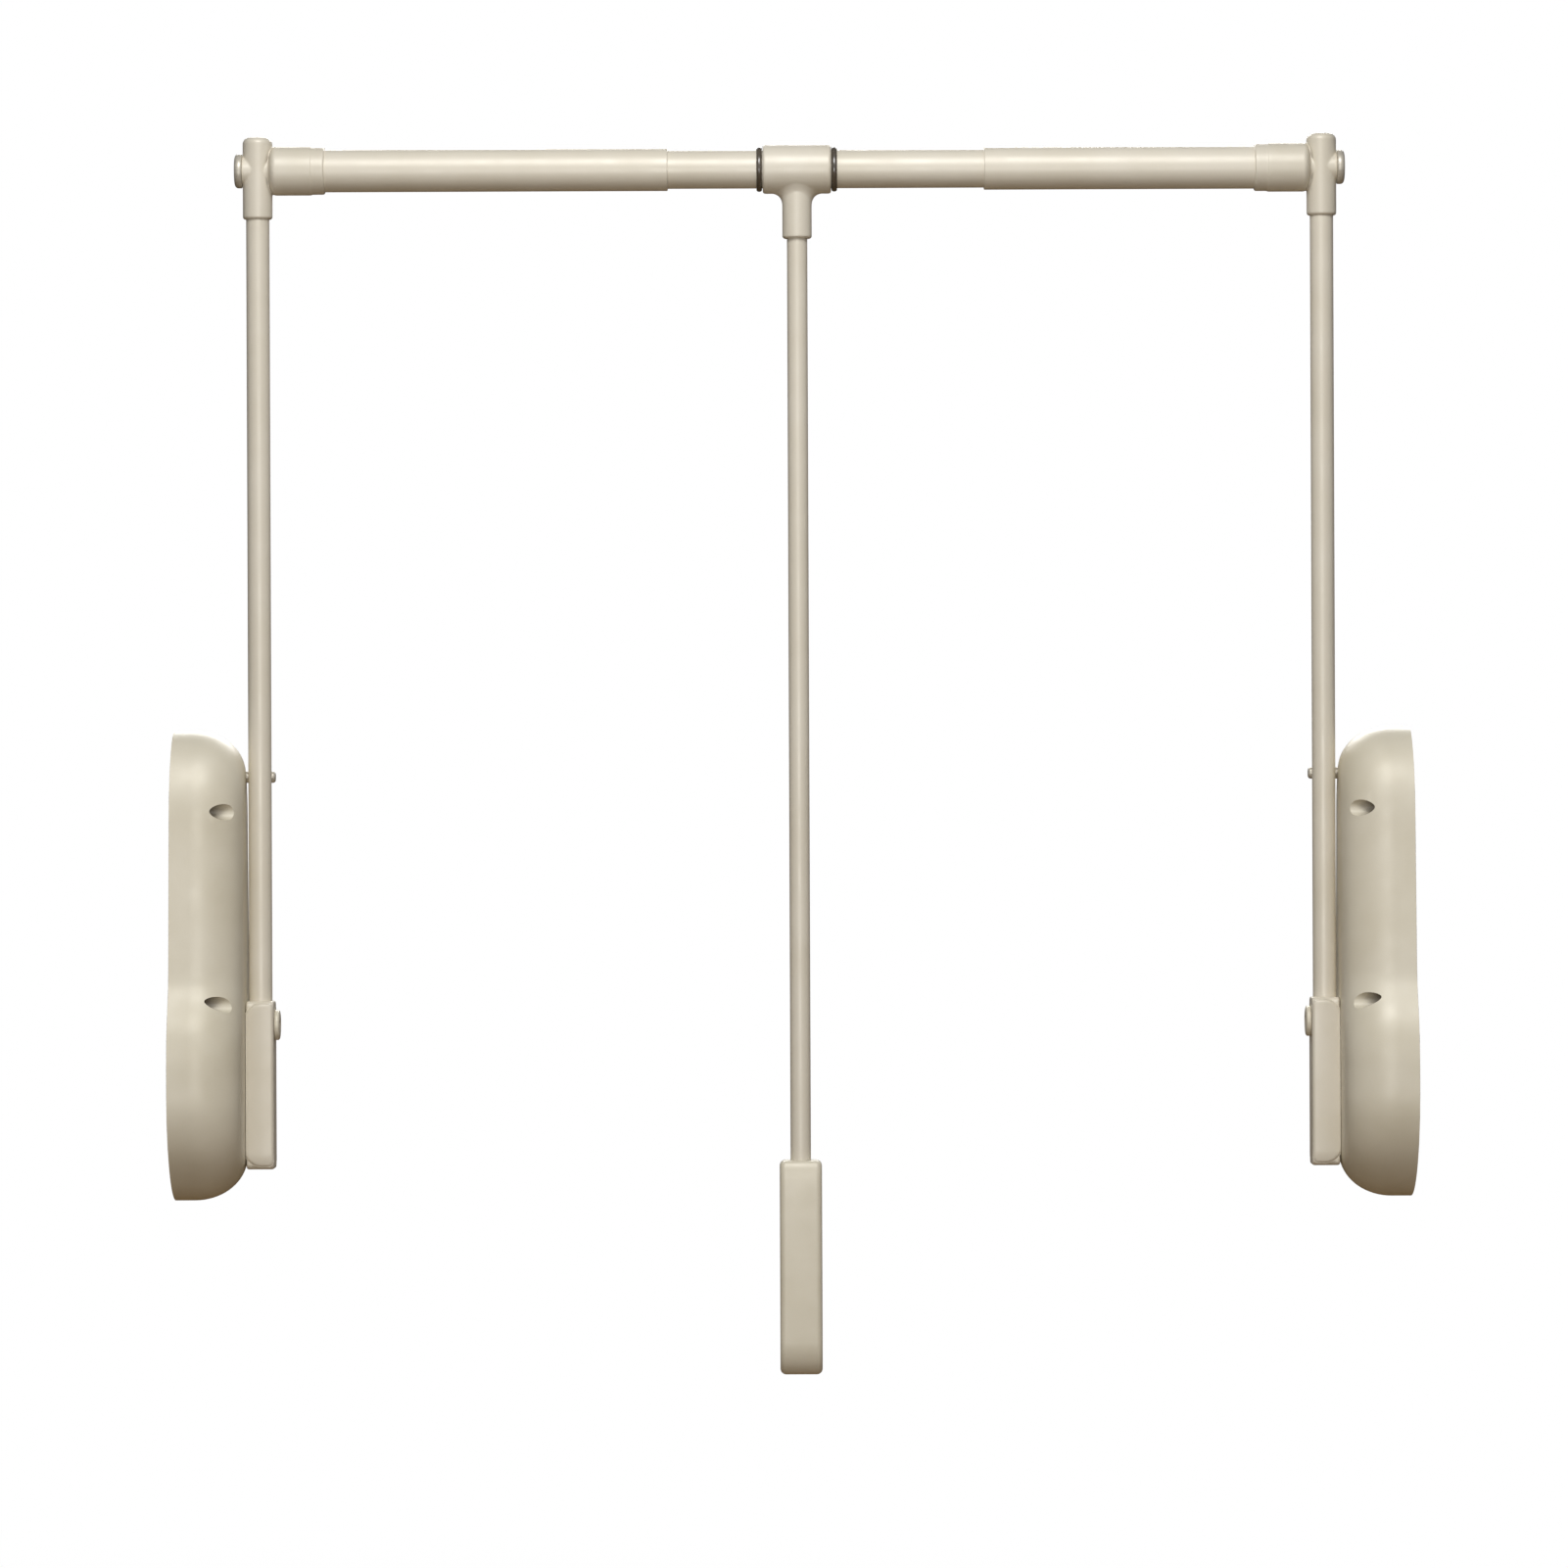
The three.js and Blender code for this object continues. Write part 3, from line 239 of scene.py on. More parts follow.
def look(camera_at, turn, lens):
    data = bpy.data.cameras.new("camera")
    data.lens = lens
    data.sensor_width = SENSOR
    data.clip_start = 0.1
    data.clip_end = 60.0
    camera = bpy.data.objects.new("camera", data)
    camera.location = camera_at
    camera.rotation_euler = turn
    bpy.context.collection.objects.link(camera)
    bpy.context.scene.camera = camera


look(CAMERA_AT, (math.radians(90), math.radians(CAMERA_ROLL), 0.0), SENSOR * STAND_OFF / FRAME_WIDE)


# Node helpers
def principled(name):
    material = bpy.data.materials.new(name)
    material.use_nodes = True
    shader = material.node_tree.nodes["Principled BSDF"]
    return material, material.node_tree, shader


def ramp(tree, source, stops):
    node = tree.nodes.new("ShaderNodeValToRGB")
    first, last = node.color_ramp.elements[0], node.color_ramp.elements[-1]
    first.position, first.color = stops[0]
    last.position, last.color = stops[-1]
    for position, colour in stops[1:-1]:
        node.color_ramp.elements.new(position).color = colour
    tree.links.new(source, node.inputs["Fac"])
    return node.outputs["Color"]


def grey(value):
    return (value, value, value, 1.0)


def linear(red, green, blue):
    def one(value):
        value /= 255.0
        return value / 12.92 if value <= 0.04045 else ((value + 0.055) / 1.055) ** 2.4
    return (one(red), one(green), one(blue), 1.0)


def object_coords(tree, scale=(1.0, 1.0, 1.0)):
    coords = tree.nodes.new("ShaderNodeTexCoord")
    mapping = tree.nodes.new("ShaderNodeMapping")
    mapping.inputs["Scale"].default_value = scale
    tree.links.new(coords.outputs["Object"], mapping.inputs["Vector"])
    return mapping.outputs["Vector"]


def noise(tree, vector, scale, detail=3.0, rough=0.55):
    node = tree.nodes.new("ShaderNodeTexNoise")
    node.inputs["Scale"].default_value = scale
    node.inputs["Detail"].default_value = detail
    node.inputs["Roughness"].default_value = rough
    tree.links.new(vector, node.inputs["Vector"])
    return node.outputs["Fac"]


# Sockets 0, 6 and 7 of a colour Mix node are its factor and its two colours, and output 2 is the colour
def mix_colour(tree, factor, first, second, mode="MIX"):
    node = tree.nodes.new("ShaderNodeMix")
    node.data_type = "RGBA"
    node.blend_type = mode
    for value, socket in ((factor, 0), (first, 6), (second, 7)):
        if isinstance(value, (float, tuple)):
            node.inputs[socket].default_value = value
        else:
            tree.links.new(value, node.inputs[socket])
    return node.outputs[2]


def bump(tree, height, distance, strength, under=None):
    node = tree.nodes.new("ShaderNodeBump")
    node.inputs["Distance"].default_value = distance
    node.inputs["Strength"].default_value = strength
    tree.links.new(height, node.inputs["Height"])
    if under is not None:
        tree.links.new(under, node.inputs["Normal"])
    return node.outputs["Normal"]


# Painted shade: the colour darkens toward a shade colour in the piece's own recesses, as ambient occlusion
# finds them
def painted_recess_shade(tree, colour, shade, reach):
    cover = tree.nodes.new("ShaderNodeAmbientOcclusion")
    cover.samples = 8
    cover.only_local = True
    cover.inputs["Distance"].default_value = reach
    depth = ramp(tree, cover.outputs["AO"], [(0.12, grey(1.0)), (0.62, grey(0.0))])
    return mix_colour(tree, depth, colour, shade)


FLAKE_SCALE = 2600.0
FLAKE_SHARE = 0.08
CLOUD_SCALE = 18.0
SMUDGE_SCALE = 55.0
GRAIN_SCALE = 1400.0
GRAIN_DEPTH = 0.00001
WAVE_SCALE = 260.0
EDGE_LIGHTER = 1.12
# Colour of the painted shade in recesses
RECESS_SHADE_COLOUR = linear(92, 74, 52)


# Pearl champagne finish: fine flakes in a satin film, a slight orange peel and paler worn edges
def champagne(name, light, dark, rough, peel, reach):
    material, tree, shader = principled(name)
    place = object_coords(tree)
    flake = tree.nodes.new("ShaderNodeTexVoronoi")
    flake.inputs["Scale"].default_value = FLAKE_SCALE
    tree.links.new(place, flake.inputs["Vector"])
    sparkle = ramp(tree, flake.outputs["Color"], [(0.0, grey(0.3)), (1.0, grey(0.7))])
    cloud = ramp(tree, noise(tree, place, CLOUD_SCALE), [(0.35, grey(0.0)), (0.7, grey(1.0))])
    tint = mix_colour(tree, cloud, light, dark)
    flaked = mix_colour(tree, FLAKE_SHARE, tint, sparkle, "OVERLAY")
    geometry = tree.nodes.new("ShaderNodeNewGeometry")
    edge = ramp(tree, geometry.outputs["Pointiness"], [(0.51, grey(0.0)), (0.60, grey(0.35))])
    bare = tuple(min(1.0, c * EDGE_LIGHTER) for c in light[:3]) + (1.0,)
    worn = mix_colour(tree, edge, flaked, bare)
    # painted shade: the colour darkens in the piece's own recesses
    shaded = painted_recess_shade(tree, worn, RECESS_SHADE_COLOUR, reach)
    tree.links.new(shaded, shader.inputs["Base Color"])
    smudge = noise(tree, place, SMUDGE_SCALE, 4.0)
    sheen = ramp(tree, smudge, [(0.3, grey(rough - 0.05)), (0.75, grey(rough + 0.07))])
    tree.links.new(sheen, shader.inputs["Roughness"])
    shader.inputs["Metallic"].default_value = 0.06
    shader.inputs["Specular IOR Level"].default_value = 0.5
    shader.inputs["Coat Weight"].default_value = 0.15
    shader.inputs["Coat Roughness"].default_value = 0.4
    grain = bump(tree, noise(tree, place, GRAIN_SCALE, 2.0), GRAIN_DEPTH, 0.05)
    waves = bump(tree, noise(tree, place, WAVE_SCALE, 1.0), peel, 0.3, grain)
    tree.links.new(waves, shader.inputs["Normal"])
    return material


LINE_SCALE = 90.0
LINE_DEPTH = 0.00002
SHEEN_SCALE = 30.0


# Plated or bare steel with fine lines that run across the axis of the largest number in lines
def steel(name, light, dark, rough, lines, metal=1.0):
    material, tree, shader = principled(name)
    place = object_coords(tree, lines)
    streak = noise(tree, place, LINE_SCALE, 6.0, 0.7)
    tone = ramp(tree, streak, [(0.3, dark), (0.7, light)])
    tree.links.new(tone, shader.inputs["Base Color"])
    shader.inputs["Metallic"].default_value = metal
    patch = noise(tree, place, SHEEN_SCALE)
    sheen = ramp(tree, patch, [(0.3, grey(rough - 0.06)), (0.8, grey(rough + 0.1))])
    tree.links.new(sheen, shader.inputs["Roughness"])
    tree.links.new(bump(tree, streak, LINE_DEPTH, 0.3), shader.inputs["Normal"])
    return material


PATCH_SCALE = 140.0
DULL_SCALE = 300.0
PORE_SCALE = 1500.0
PORE_DEPTH = 0.00002


# Dark rubber or plastic with paler patches, uneven gloss and fine pores
def dark_moulding(name, colour, rough, gloss_level):
    material, tree, shader = principled(name)
    place = object_coords(tree)
    pale = tuple(min(1.0, c * 1.8 + 0.01) for c in colour[:3]) + (1.0,)
    patch = ramp(tree, noise(tree, place, PATCH_SCALE, 4.0), [(0.4, colour), (0.8, pale)])
    tree.links.new(patch, shader.inputs["Base Color"])
    dull = noise(tree, place, DULL_SCALE)
    gloss = ramp(tree, dull, [(0.3, grey(rough - 0.08)), (0.8, grey(rough + 0.1))])
    tree.links.new(gloss, shader.inputs["Roughness"])
    shader.inputs["Specular IOR Level"].default_value = gloss_level
    pores = bump(tree, noise(tree, place, PORE_SCALE), PORE_DEPTH, 0.5)
    tree.links.new(pores, shader.inputs["Normal"])
    return material


# Light and dark tone, roughness, depth of the orange peel, and how far the painted recess shade reaches
# (both in metres)
paint = champagne("champagne_paint", linear(228, 220, 203), linear(219, 210, 190), 0.42, 0.00003, 0.012)
moulding = champagne("champagne_plastic", linear(225, 217, 197), linear(215, 206, 183), 0.44, 0.00004, 0.02)
zinc = steel("zinc_plate", linear(222, 222, 216), linear(192, 192, 188), 0.4, (1.0, 1.0, 6.0), 0.35)
dark_steel = steel("oiled_steel", linear(150, 151, 154), linear(104, 105, 108), 0.34, (6.0, 1.0, 1.0))
nickel = steel("satin_nickel", linear(216, 209, 194), linear(190, 183, 168), 0.44, (1.0, 1.0, 6.0), 0.4)
rubber = dark_moulding("black_rubber", linear(72, 64, 53), 0.24, 1.0)
black = dark_moulding("black_moulding", linear(30, 30, 30), 0.5, 0.5)


# Mesh helpers: everything is laid out in millimetres and stored in metres
WELD_REACH = 0.002
CLOSE = 0.01


def mesh_object(name, points, faces):
    mesh = bpy.data.meshes.new(name)
    mesh.from_pydata([tuple(c * MM for c in p) for p in points], [], faces)
    made = bmesh.new()
    made.from_mesh(mesh)
    bmesh.ops.remove_doubles(made, verts=made.verts, dist=WELD_REACH * MM)
    bmesh.ops.recalc_face_normals(made, faces=made.faces)
    made.to_mesh(mesh)
    made.free()
    piece = bpy.data.objects.new(name, mesh)
    bpy.context.collection.objects.link(piece)
    return piece


def arc(y, z, wide, tall, start, end, steps):
    points = []
    for step in range(steps + 1):
        angle = start + (end - start) * step / steps
        points.append((y + wide * math.cos(angle), z + tall * math.sin(angle)))
    return points


# A Bezier curve of any degree through its control places
def bend(places, steps):
    points = []
    for step in range(steps + 1):
        share = step / steps
        row = list(places)
        while len(row) > 1:
            row = [
                (a[0] + (b[0] - a[0]) * share, a[1] + (b[1] - a[1]) * share)
                for a, b in zip(row, row[1:])
            ]
        points.append(row[0])
    return points


def mirrored(places):
    return [(-y, z) for y, z in reversed(places)]


# Joins runs of points into one closed loop, without points that lie on each other
def loop_of(*runs):
    points = [point for run in runs for point in run]
    kept = []
    for i, point in enumerate(points):
        following = points[(i + 1) % len(points)]
        if math.dist(point, following) > CLOSE:
            kept.append(point)
    return kept


def inset_loop(loop, inset):
    moved = []
    for i, (y, z) in enumerate(loop):
        before = loop[i - 1]
        after = loop[(i + 1) % len(loop)]
        along = Vector((after[0] - before[0], after[1] - before[1])).normalized()
        moved.append((y - along.y * inset, z + along.x * inset))
    return moved


# A closed body along X: at each station the loop is drawn in by an inset
def loft(name, loop, stations):
    points = []
    for x, inset in stations:
        points += [(x, y, z) for y, z in inset_loop(loop, inset)]
    count = len(loop)
    faces = []
    for ring in range(len(stations) - 1):
        for i in range(count):
            near = ring * count + i
            following = ring * count + (i + 1) % count
            faces.append((near, following, following + count, near + count))
    faces.append(tuple(reversed(range(count))))
    last = (len(stations) - 1) * count
    faces.append(tuple(range(last, last + count)))
    return mesh_object(name, points, faces)


# A body of revolution about Z from rows of radius and height
def turned(name, rows, sides=72):
    points = []
    faces = []
    for radius, height in rows:
        for side in range(sides):
            angle = 2 * math.pi * side / sides
            points.append((radius * math.cos(angle), radius * math.sin(angle), height))
    for row in range(len(rows) - 1):
        for side in range(sides):
            here = row * sides + side
            following = row * sides + (side + 1) % sides
            faces.append((here, following, following + sides, here + sides))
    if rows[0] != rows[-1]:
        if rows[0][0] > 0:
            faces.append(tuple(reversed(range(sides))))
        if rows[-1][0] > 0:
            last = (len(rows) - 1) * sides
            faces.append(tuple(range(last, last + sides)))
    return mesh_object(name, points, faces)


def along_x(piece, y, z):
    for vertex in piece.data.vertices:
        a, b, c = vertex.co
        vertex.co = (c, a + y * MM, b + z * MM)
    return piece


def along_z(piece, x, y):
    for vertex in piece.data.vertices:
        a, b, c = vertex.co
        vertex.co = (a + x * MM, b + y * MM, c)
    return piece


def bar_x(name, radius, start, end, y, z, sides=72):
    return along_x(turned(name, [(radius, start), (radius, end)], sides), y, z)


def bar_z(name, radius, x, y, start, end, sides=72):
    return along_z(turned(name, [(radius, start), (radius, end)], sides), x, y)


def prism_x(name, corners, start, end):
    count = len(corners)
    points = [(start, y, z) for y, z in corners] + [(end, y, z) for y, z in corners]
    faces = [(i, (i + 1) % count, (i + 1) % count + count, i + count) for i in range(count)]
    faces.append(tuple(reversed(range(count))))
    faces.append(tuple(range(count, 2 * count)))
    return mesh_object(name, points, faces)


# Corners of a rectangle for prism_x, even about y = 0
def rectangle(half, low, high):
    return [(-half, low), (half, low), (half, high), (-half, high)]


# The evaluated mesh of a piece takes the place of its own, and the modifiers go
def settle(piece):
    bpy.context.view_layer.update()
    shape = piece.evaluated_get(bpy.context.evaluated_depsgraph_get())
    mesh = bpy.data.meshes.new_from_object(shape)
    piece.modifiers.clear()
    old = piece.data
    piece.data = mesh
    bpy.data.meshes.remove(old)


# Boolean of a piece with others, which are used up
def combine(piece, others, operation):
    for other in others:
        modifier = piece.modifiers.new("combine", "BOOLEAN")
        modifier.operation = operation
        modifier.solver = "EXACT"
        modifier.object = other
    settle(piece)
    for other in others:
        bpy.data.objects.remove(other)


# Joined bodies flow into each other as a casting does
def cast(piece, voxel, rounds):
    modifier = piece.modifiers.new("skin", "REMESH")
    modifier.mode = "VOXEL"
    modifier.voxel_size = voxel * MM
    modifier.use_smooth_shade = True
    smooth = piece.modifiers.new("soft", "SMOOTH")
    smooth.factor = 0.5
    smooth.iterations = rounds
    settle(piece)


def smooth_by_angle(piece, degrees):
    made = bmesh.new()
    made.from_mesh(piece.data)
    limit = math.radians(degrees)
    for face in made.faces:
        face.smooth = True
    for edge in made.edges:
        edge.smooth = edge.is_manifold and edge.calc_face_angle(0.0) < limit
    made.to_mesh(piece.data)
    made.free()


# Material, shading, body, slot (which is not used) and the CAD nodes that the piece stands for
def dress(piece, material, body, slot, *replaced, degrees):
    piece.data.materials.clear()
    piece.data.materials.append(material)
    smooth_by_angle(piece, degrees)
    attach(piece, body)
    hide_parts(*replaced)


# Right-hand pieces are built as left ones and mirrored across the middle of the span
def to_side(piece, side):
    if side == "right":
        for vertex in piece.data.vertices:
            vertex.co.x = SPAN * MM - vertex.co.x
        piece.data.flip_normals()
    return piece


def housing_outline():
    neck = [
        (LOBE_RADIUS, LOBE_TOP),
        (LOBE_RADIUS, LOBE_TOP + LOBE_PULL),
        (NECK_HALF, NECK_HEIGHT - NECK_PULL),
        (NECK_HALF, NECK_HEIGHT),
    ]
    flank = [(NECK_HALF, NECK_HEIGHT), (CROWN_HALF, CROWN_BASE)]
    return loop_of(
        arc(0, 0, LOBE_RADIUS, LOBE_RADIUS, -math.pi / 2, 0, 24),
        bend(neck, 20),
        bend(flank, 6),
        arc(0, CROWN_BASE, CROWN_HALF, CROWN_RISE, 0, math.pi, 48),
        bend(mirrored(flank), 6),
        bend(mirrored(neck), 20),
        arc(0, 0, LOBE_RADIUS, LOBE_RADIUS, math.pi, math.pi * 1.5, 24),
    )


# Half of the housing's depth at a height
def half_depth(height):
    if height > NECK_HEIGHT:
        share = (height - NECK_HEIGHT) / (CROWN_BASE - NECK_HEIGHT)
        if share <= 1:
            return NECK_HALF + (CROWN_HALF - NECK_HALF) * share
        return CROWN_HALF * math.sqrt(1 - ((height - CROWN_BASE) / CROWN_RISE) ** 2)
    front = sorted((z, y) for y, z in housing_outline() if y > 0)
    for (low, near), (high, far) in zip(front, front[1:]):
        if low <= height <= high:
            return near + (far - near) * (height - low) / (high - low)
    return LOBE_RADIUS


# Stations of the dome from its rim to its face, for a skin that lies a wall's thickness inside
def dome_stations(wall, rim, steps):
    stations = [(rim, wall)]
    for step in range(steps + 1):
        angle = math.pi / 2 * step / steps
        rise = (HOUSING_DEEP - wall - RIM_STRAIGHT) * math.sin(angle)
        stations.append((RIM_STRAIGHT + rise, wall + (DOME_INSET - wall) * (1 - math.cos(angle))))
    return stations


def housing(side):
    loop = housing_outline()
    cover = loft(side + "_housing_skin", loop, dome_stations(0.0, COVER_LIFT, 18))
    hollow = loft("hollow", loop, dome_stations(COVER_WALL, COVER_LIFT - OVERRUN, 8))
    combine(cover, [hollow], "DIFFERENCE")
    bosses = []
    cutters = []
    boss_end = HOUSING_DEEP + 2 * OVERRUN
    channel_end = HOUSING_DEEP + 3 * OVERRUN
    hole_end = CHANNEL_FLOOR + OVERRUN
    for level in SCREW_LEVELS:
        depth = half_depth(level) - CHANNEL_INSET
        for y in (-depth, depth):
            # a tube with a floor, trimmed by the dome's own outside
            bosses.append(bar_x("boss", BOSS_RADIUS, BOSS_FOOT, boss_end, y, level, BOSS_ROUND))
            cutters.append(bar_x("channel", CHANNEL_RADIUS, CHANNEL_FLOOR, channel_end, y, level, MEDIUM))
            cutters.append(bar_x("hole", SCREW_HOLE, -OVERRUN, hole_end, y, level, SMALL_ROUND))
    posts = bosses[0]
    combine(posts, bosses[1:], "UNION")
    inside_skin = loft("inside_skin", loop, dome_stations(BOSS_SKIN, COVER_LIFT, 18))
    combine(posts, [inside_skin], "INTERSECT")
    combine(cover, [posts], "UNION")
    end = FACE_HOLE_END
    cutters.append(bar_x("stop_hole", STOP_HOLE, STOP_HOLE_START, end, STOP_LINE, STOP_HEIGHT, COARSE))
    cutters.append(bar_x("bush_hole", BUSH_HOLE, BUSH_HOLE_START, end, 0.0, 0.0, MEDIUM))
    combine(cover, cutters, "DIFFERENCE")
    to_side(cover, side)
    dress(cover, moulding, side + "_housing", "champagne_plastic", side + "_housing_cover", degrees=38.0)


# An outline with plain round corners on its left and arched ones, of their own size, on its right
def rounded_outline(left, right, low, high, corner, arch):
    turn = math.pi / 2
    wide, tall = arch
    return loop_of(
        arc(left + corner, low + corner, corner, corner, -2 * turn, -turn, 12),
        arc(right - wide, low + tall, wide, tall, -turn, 0, 20),
        arc(right - wide, high - tall, wide, tall, 0, turn, 20),
        arc(left + corner, high - corner, corner, corner, turn, 2 * turn, 12),
    )


# Stations whose two ends are rounded over by an edge
def rounded_stations(start, end, edge, steps):
    near = []
    far = []
    for step in range(steps + 1):
        angle = math.pi / 2 * step / steps
        inset = edge * (1 - math.sin(angle))
        back = edge * (1 - math.cos(angle))
        near.append((start + back, inset))
        far.insert(0, (end - back, inset))
    return near + far


# The two panels are crowned across and fall back toward their foot
def crown_panels(body):
    for vertex in body.data.vertices:
        x, y, z = (c / MM for c in vertex.co)
        proud = abs(y) - LEVER_HALF
        if proud > 0.0:
            across = (x - PANEL_CREST) / PANEL_REACH
            foot = max(0.0, (LEVER_FOOT + FOOT_RISE - z) / FOOT_RISE)
            drop = min(0.9 * proud, PANEL_BOW * across ** 2 + FOOT_BOW * foot ** 2)
            vertex.co.y -= math.copysign(drop * MM, y)


def lever(side):
    corner = LEVER_CORNER
    outline = rounded_outline(-LEVER_HALF, LEVER_HALF, LEVER_FOOT, LEVER_TOP, corner, (corner, corner))
    body = loft(side + "_lever_casting", outline, rounded_stations(LEVER_NEAR, LEVER_FAR, LEVER_EDGE, 5))
    low = LEVER_FOOT + PANEL_LEDGE
    high = LEVER_TOP - PANEL_LEDGE
    front = rounded_outline(-LEVER_FAR, PANEL_BACK - LEVER_NEAR, low, high, corner, PANEL_ARCH)
    panels = loft("panels", front, rounded_stations(-PANEL_HALF, PANEL_HALF, PANEL_EDGE, 8))
    for vertex in panels.data.vertices:
        x, y, z = vertex.co
        vertex.co = (-y, x, z)
    combine(body, [panels], "UNION")
    cast(body, voxel=0.42, rounds=3)
    crown_panels(body)
    # a block wider and taller than the lever trims its near face flat
    block = rectangle(40.0, -80.0, 90.0)
    trim = prism_x("side_plane", block, LEVER_NEAR - 20.0, LEVER_NEAR - LEVER_FACE_TRIM)
    combine(body, [trim], "DIFFERENCE")
    hollow = rectangle(POCKET_HALF, POCKET_FOOT, 0.0)
    pocket = prism_x("pocket", hollow, LEVER_NEAR - OVERRUN, LEVER_FAR - POCKET_CEILING)
    kept = [bar_x("hub", HUB_RADIUS, LEVER_NEAR - 1.5 * OVERRUN, LEVER_FAR, 0.0, 0.0)]
    for level in RIB_LEVELS:
        rib = rectangle(RIB_REACH, level - RIB_HALF, level + RIB_HALF)
        kept.append(prism_x("rib", rib, LEVER_NEAR + RIB_SET_BACK, LEVER_FAR))
    combine(pocket, kept, "DIFFERENCE")
    cutters = [
        pocket,
        bar_z("socket", ARM_SOCKET, ARM_LINE, 0.0, LEVER_TOP - LEVER_SOCKET_DEEP, LEVER_TOP + OVERRUN),
        bar_x("shaft_bore", SHAFT_BORE, LEVER_NEAR - OVERRUN, SHAFT_BORE_END, 0.0, 0.0),
        bar_x("clamp_hole", CLAMP_HOLE, ARM_LINE, LEVER_FAR + OVERRUN, 0.0, CLAMP_HEIGHT, COARSE),
    ]
    combine(body, cutters, "DIFFERENCE")
    to_side(body, side)
    dress(body, paint, side + "_arm", "champagne_paint", side + "_arm_lever", degrees=38.0)


def clamp_cap(side):
    seat = LEVER_FAR + CAP_LIFT
    top = seat + CAP_TALL
    rim = CAP_RADIUS
    rows = [
        (0.0, SHANK_END), (SHANK_RADIUS, SHANK_END), (SHANK_RADIUS, seat), (rim - 0.2, seat),
        (rim, seat + 0.2), (rim, top - 1.4), (rim - 0.2, top - 0.8), (rim - 0.7, top - 0.4),
        (rim - 1.5, top - 0.1), (rim - 2.3, top), (WELL_RADIUS + 0.3, top), (WELL_RADIUS, top - 0.2),
        (WELL_RADIUS, seat + WELL_FLOOR), (0.0, seat + WELL_FLOOR),
    ]
    cap = to_side(along_x(turned(side + "_clamp_cap", rows), 0.0, CLAMP_HEIGHT), side)
    dress(cap, moulding, side + "_arm", "champagne_plastic", side + "_clamp_screw", degrees=50.0)


# Rows of a tube for turned(), closed over its inside
def pipe_rows(outer, inner, start, end, soft):
    return [
        (inner, start), (outer - soft, start), (outer, start + soft),
        (outer, end - soft), (outer - soft, end), (inner, end), (inner, start),
    ]


def arm_tube(side):
    tube = along_z(turned(side + "_arm_pipe", pipe_rows(*ARM_PIPE)), ARM_LINE, 0.0)
    end = ARM_LINE + CLAMP_HOLE_DEEP
    hole = bar_x("clamp_hole", CLAMP_HOLE, ARM_LINE, end, 0.0, CLAMP_HEIGHT, COARSE)
    combine(tube, [hole], "DIFFERENCE")
    to_side(tube, side)
    dress(tube, paint, side + "_arm", "champagne_paint", side + "_arm_tube", degrees=40.0)


# Angles of a quarter turn
def quarter(steps):
    return [math.pi / 2 * step / steps for step in range(steps + 1)]


# The corner casting: the sleeve and the bolt's seat grow out of the flanks of the post
def elbow(side):
    low = REACH - POST_DROP
    high = REACH + POST_RISE
    flat = POST_RADIUS - POST_DOME
    base = high - POST_DOME
    dome = [(flat + POST_DOME * math.cos(a), base + POST_DOME * math.sin(a)) for a in quarter(10)]
    mouth = [(0.0, low), (POST_MOUTH, low), (POST_RADIUS, low + POST_CHAMFER)]
    rows = mouth + dome + [(0.0, high)]
    post = along_z(turned(side + "_corner_casting", rows), ARM_LINE, 0.0)
    seat = bar_x("seat", BOLT_SEAT_RADIUS, ARM_LINE - BOLT_SEAT_PROUD, ARM_LINE, 0.0, REACH)
    near, along = SHOULDER_START
    shoulder = [
        (near + SHOULDER_WIDE * math.sin(a), along + SHOULDER_LONG * (1 - math.cos(a)))
        for a in quarter(10)
    ]
    sleeve = along_x(turned("sleeve", SLEEVE_ROOT + shoulder + SLEEVE_LIP), 0.0, REACH)
    combine(post, [seat, sleeve], "UNION")
    cast(post, voxel=0.45, rounds=8)
    cutters = [
        bar_z("socket", ARM_SOCKET, ARM_LINE, 0.0, low - OVERRUN, low + ELBOW_SOCKET_DEEP),
        bar_x("bolt_hole", BOLT_HOLE, BOLT_HOLE_START, BOLT_HOLE_END, 0.0, REACH),
        bar_x("bore", SLEEVE_BORE, SLEEVE_BORE_START, SLEEVE_BORE_END, 0.0, REACH),
    ]
    combine(post, cutters, "DIFFERENCE")
    to_side(post, side)
    dress(post, paint, side + "_arm", "champagne_paint", side + "_corner_elbow", degrees=45.0)


def elbow_bolt(side):
    seat = BOLT_SEAT
    top = seat - BOLT_TALL
    rim = BOLT_RADIUS
    floor = top + BOLT_KEY_DEEP
    rows = [
        (0.0, floor), (BOLT_KEY, floor), (BOLT_KEY, top + 0.3), (BOLT_KEY + 0.4, top), (rim - 2.4, top),
        (rim - 1.4, top + 0.3), (rim - 0.6, top + 0.9), (rim - 0.1, top + 1.8), (rim, top + 2.8),
        (rim, seat - 0.3), (rim - 0.3, seat), (BOLT_SHANK, seat), (BOLT_SHANK, BOLT_SHANK_END),
        (0.0, BOLT_SHANK_END),
    ]
    bolt = along_x(turned(side + "_bolt", rows), 0.0, REACH)
    to_side(bolt, side)
    dress(bolt, nickel, side + "_arm", "zinc_sheet", side + "_elbow_bolt", degrees=50.0)


def stop_pin(side):
    flat = PIN_RADIUS - PIN_ROUND
    base = PIN_END - PIN_ROUND
    tip = [(flat + PIN_ROUND * math.cos(a), base + PIN_ROUND * math.sin(a)) for a in quarter(8)]
    rows = [(0.0, PIN_ROOT), (PIN_RADIUS, PIN_ROOT)] + tip + [(0.0, PIN_END)]
    pin = along_x(turned(side + "_stop_stud", rows, SMALL_ROUND), STOP_LINE, STOP_HEIGHT)
    to_side(pin, side)
    dress(pin, nickel, side + "_housing", "zinc_sheet", side + "_stop_pin", degrees=50.0)


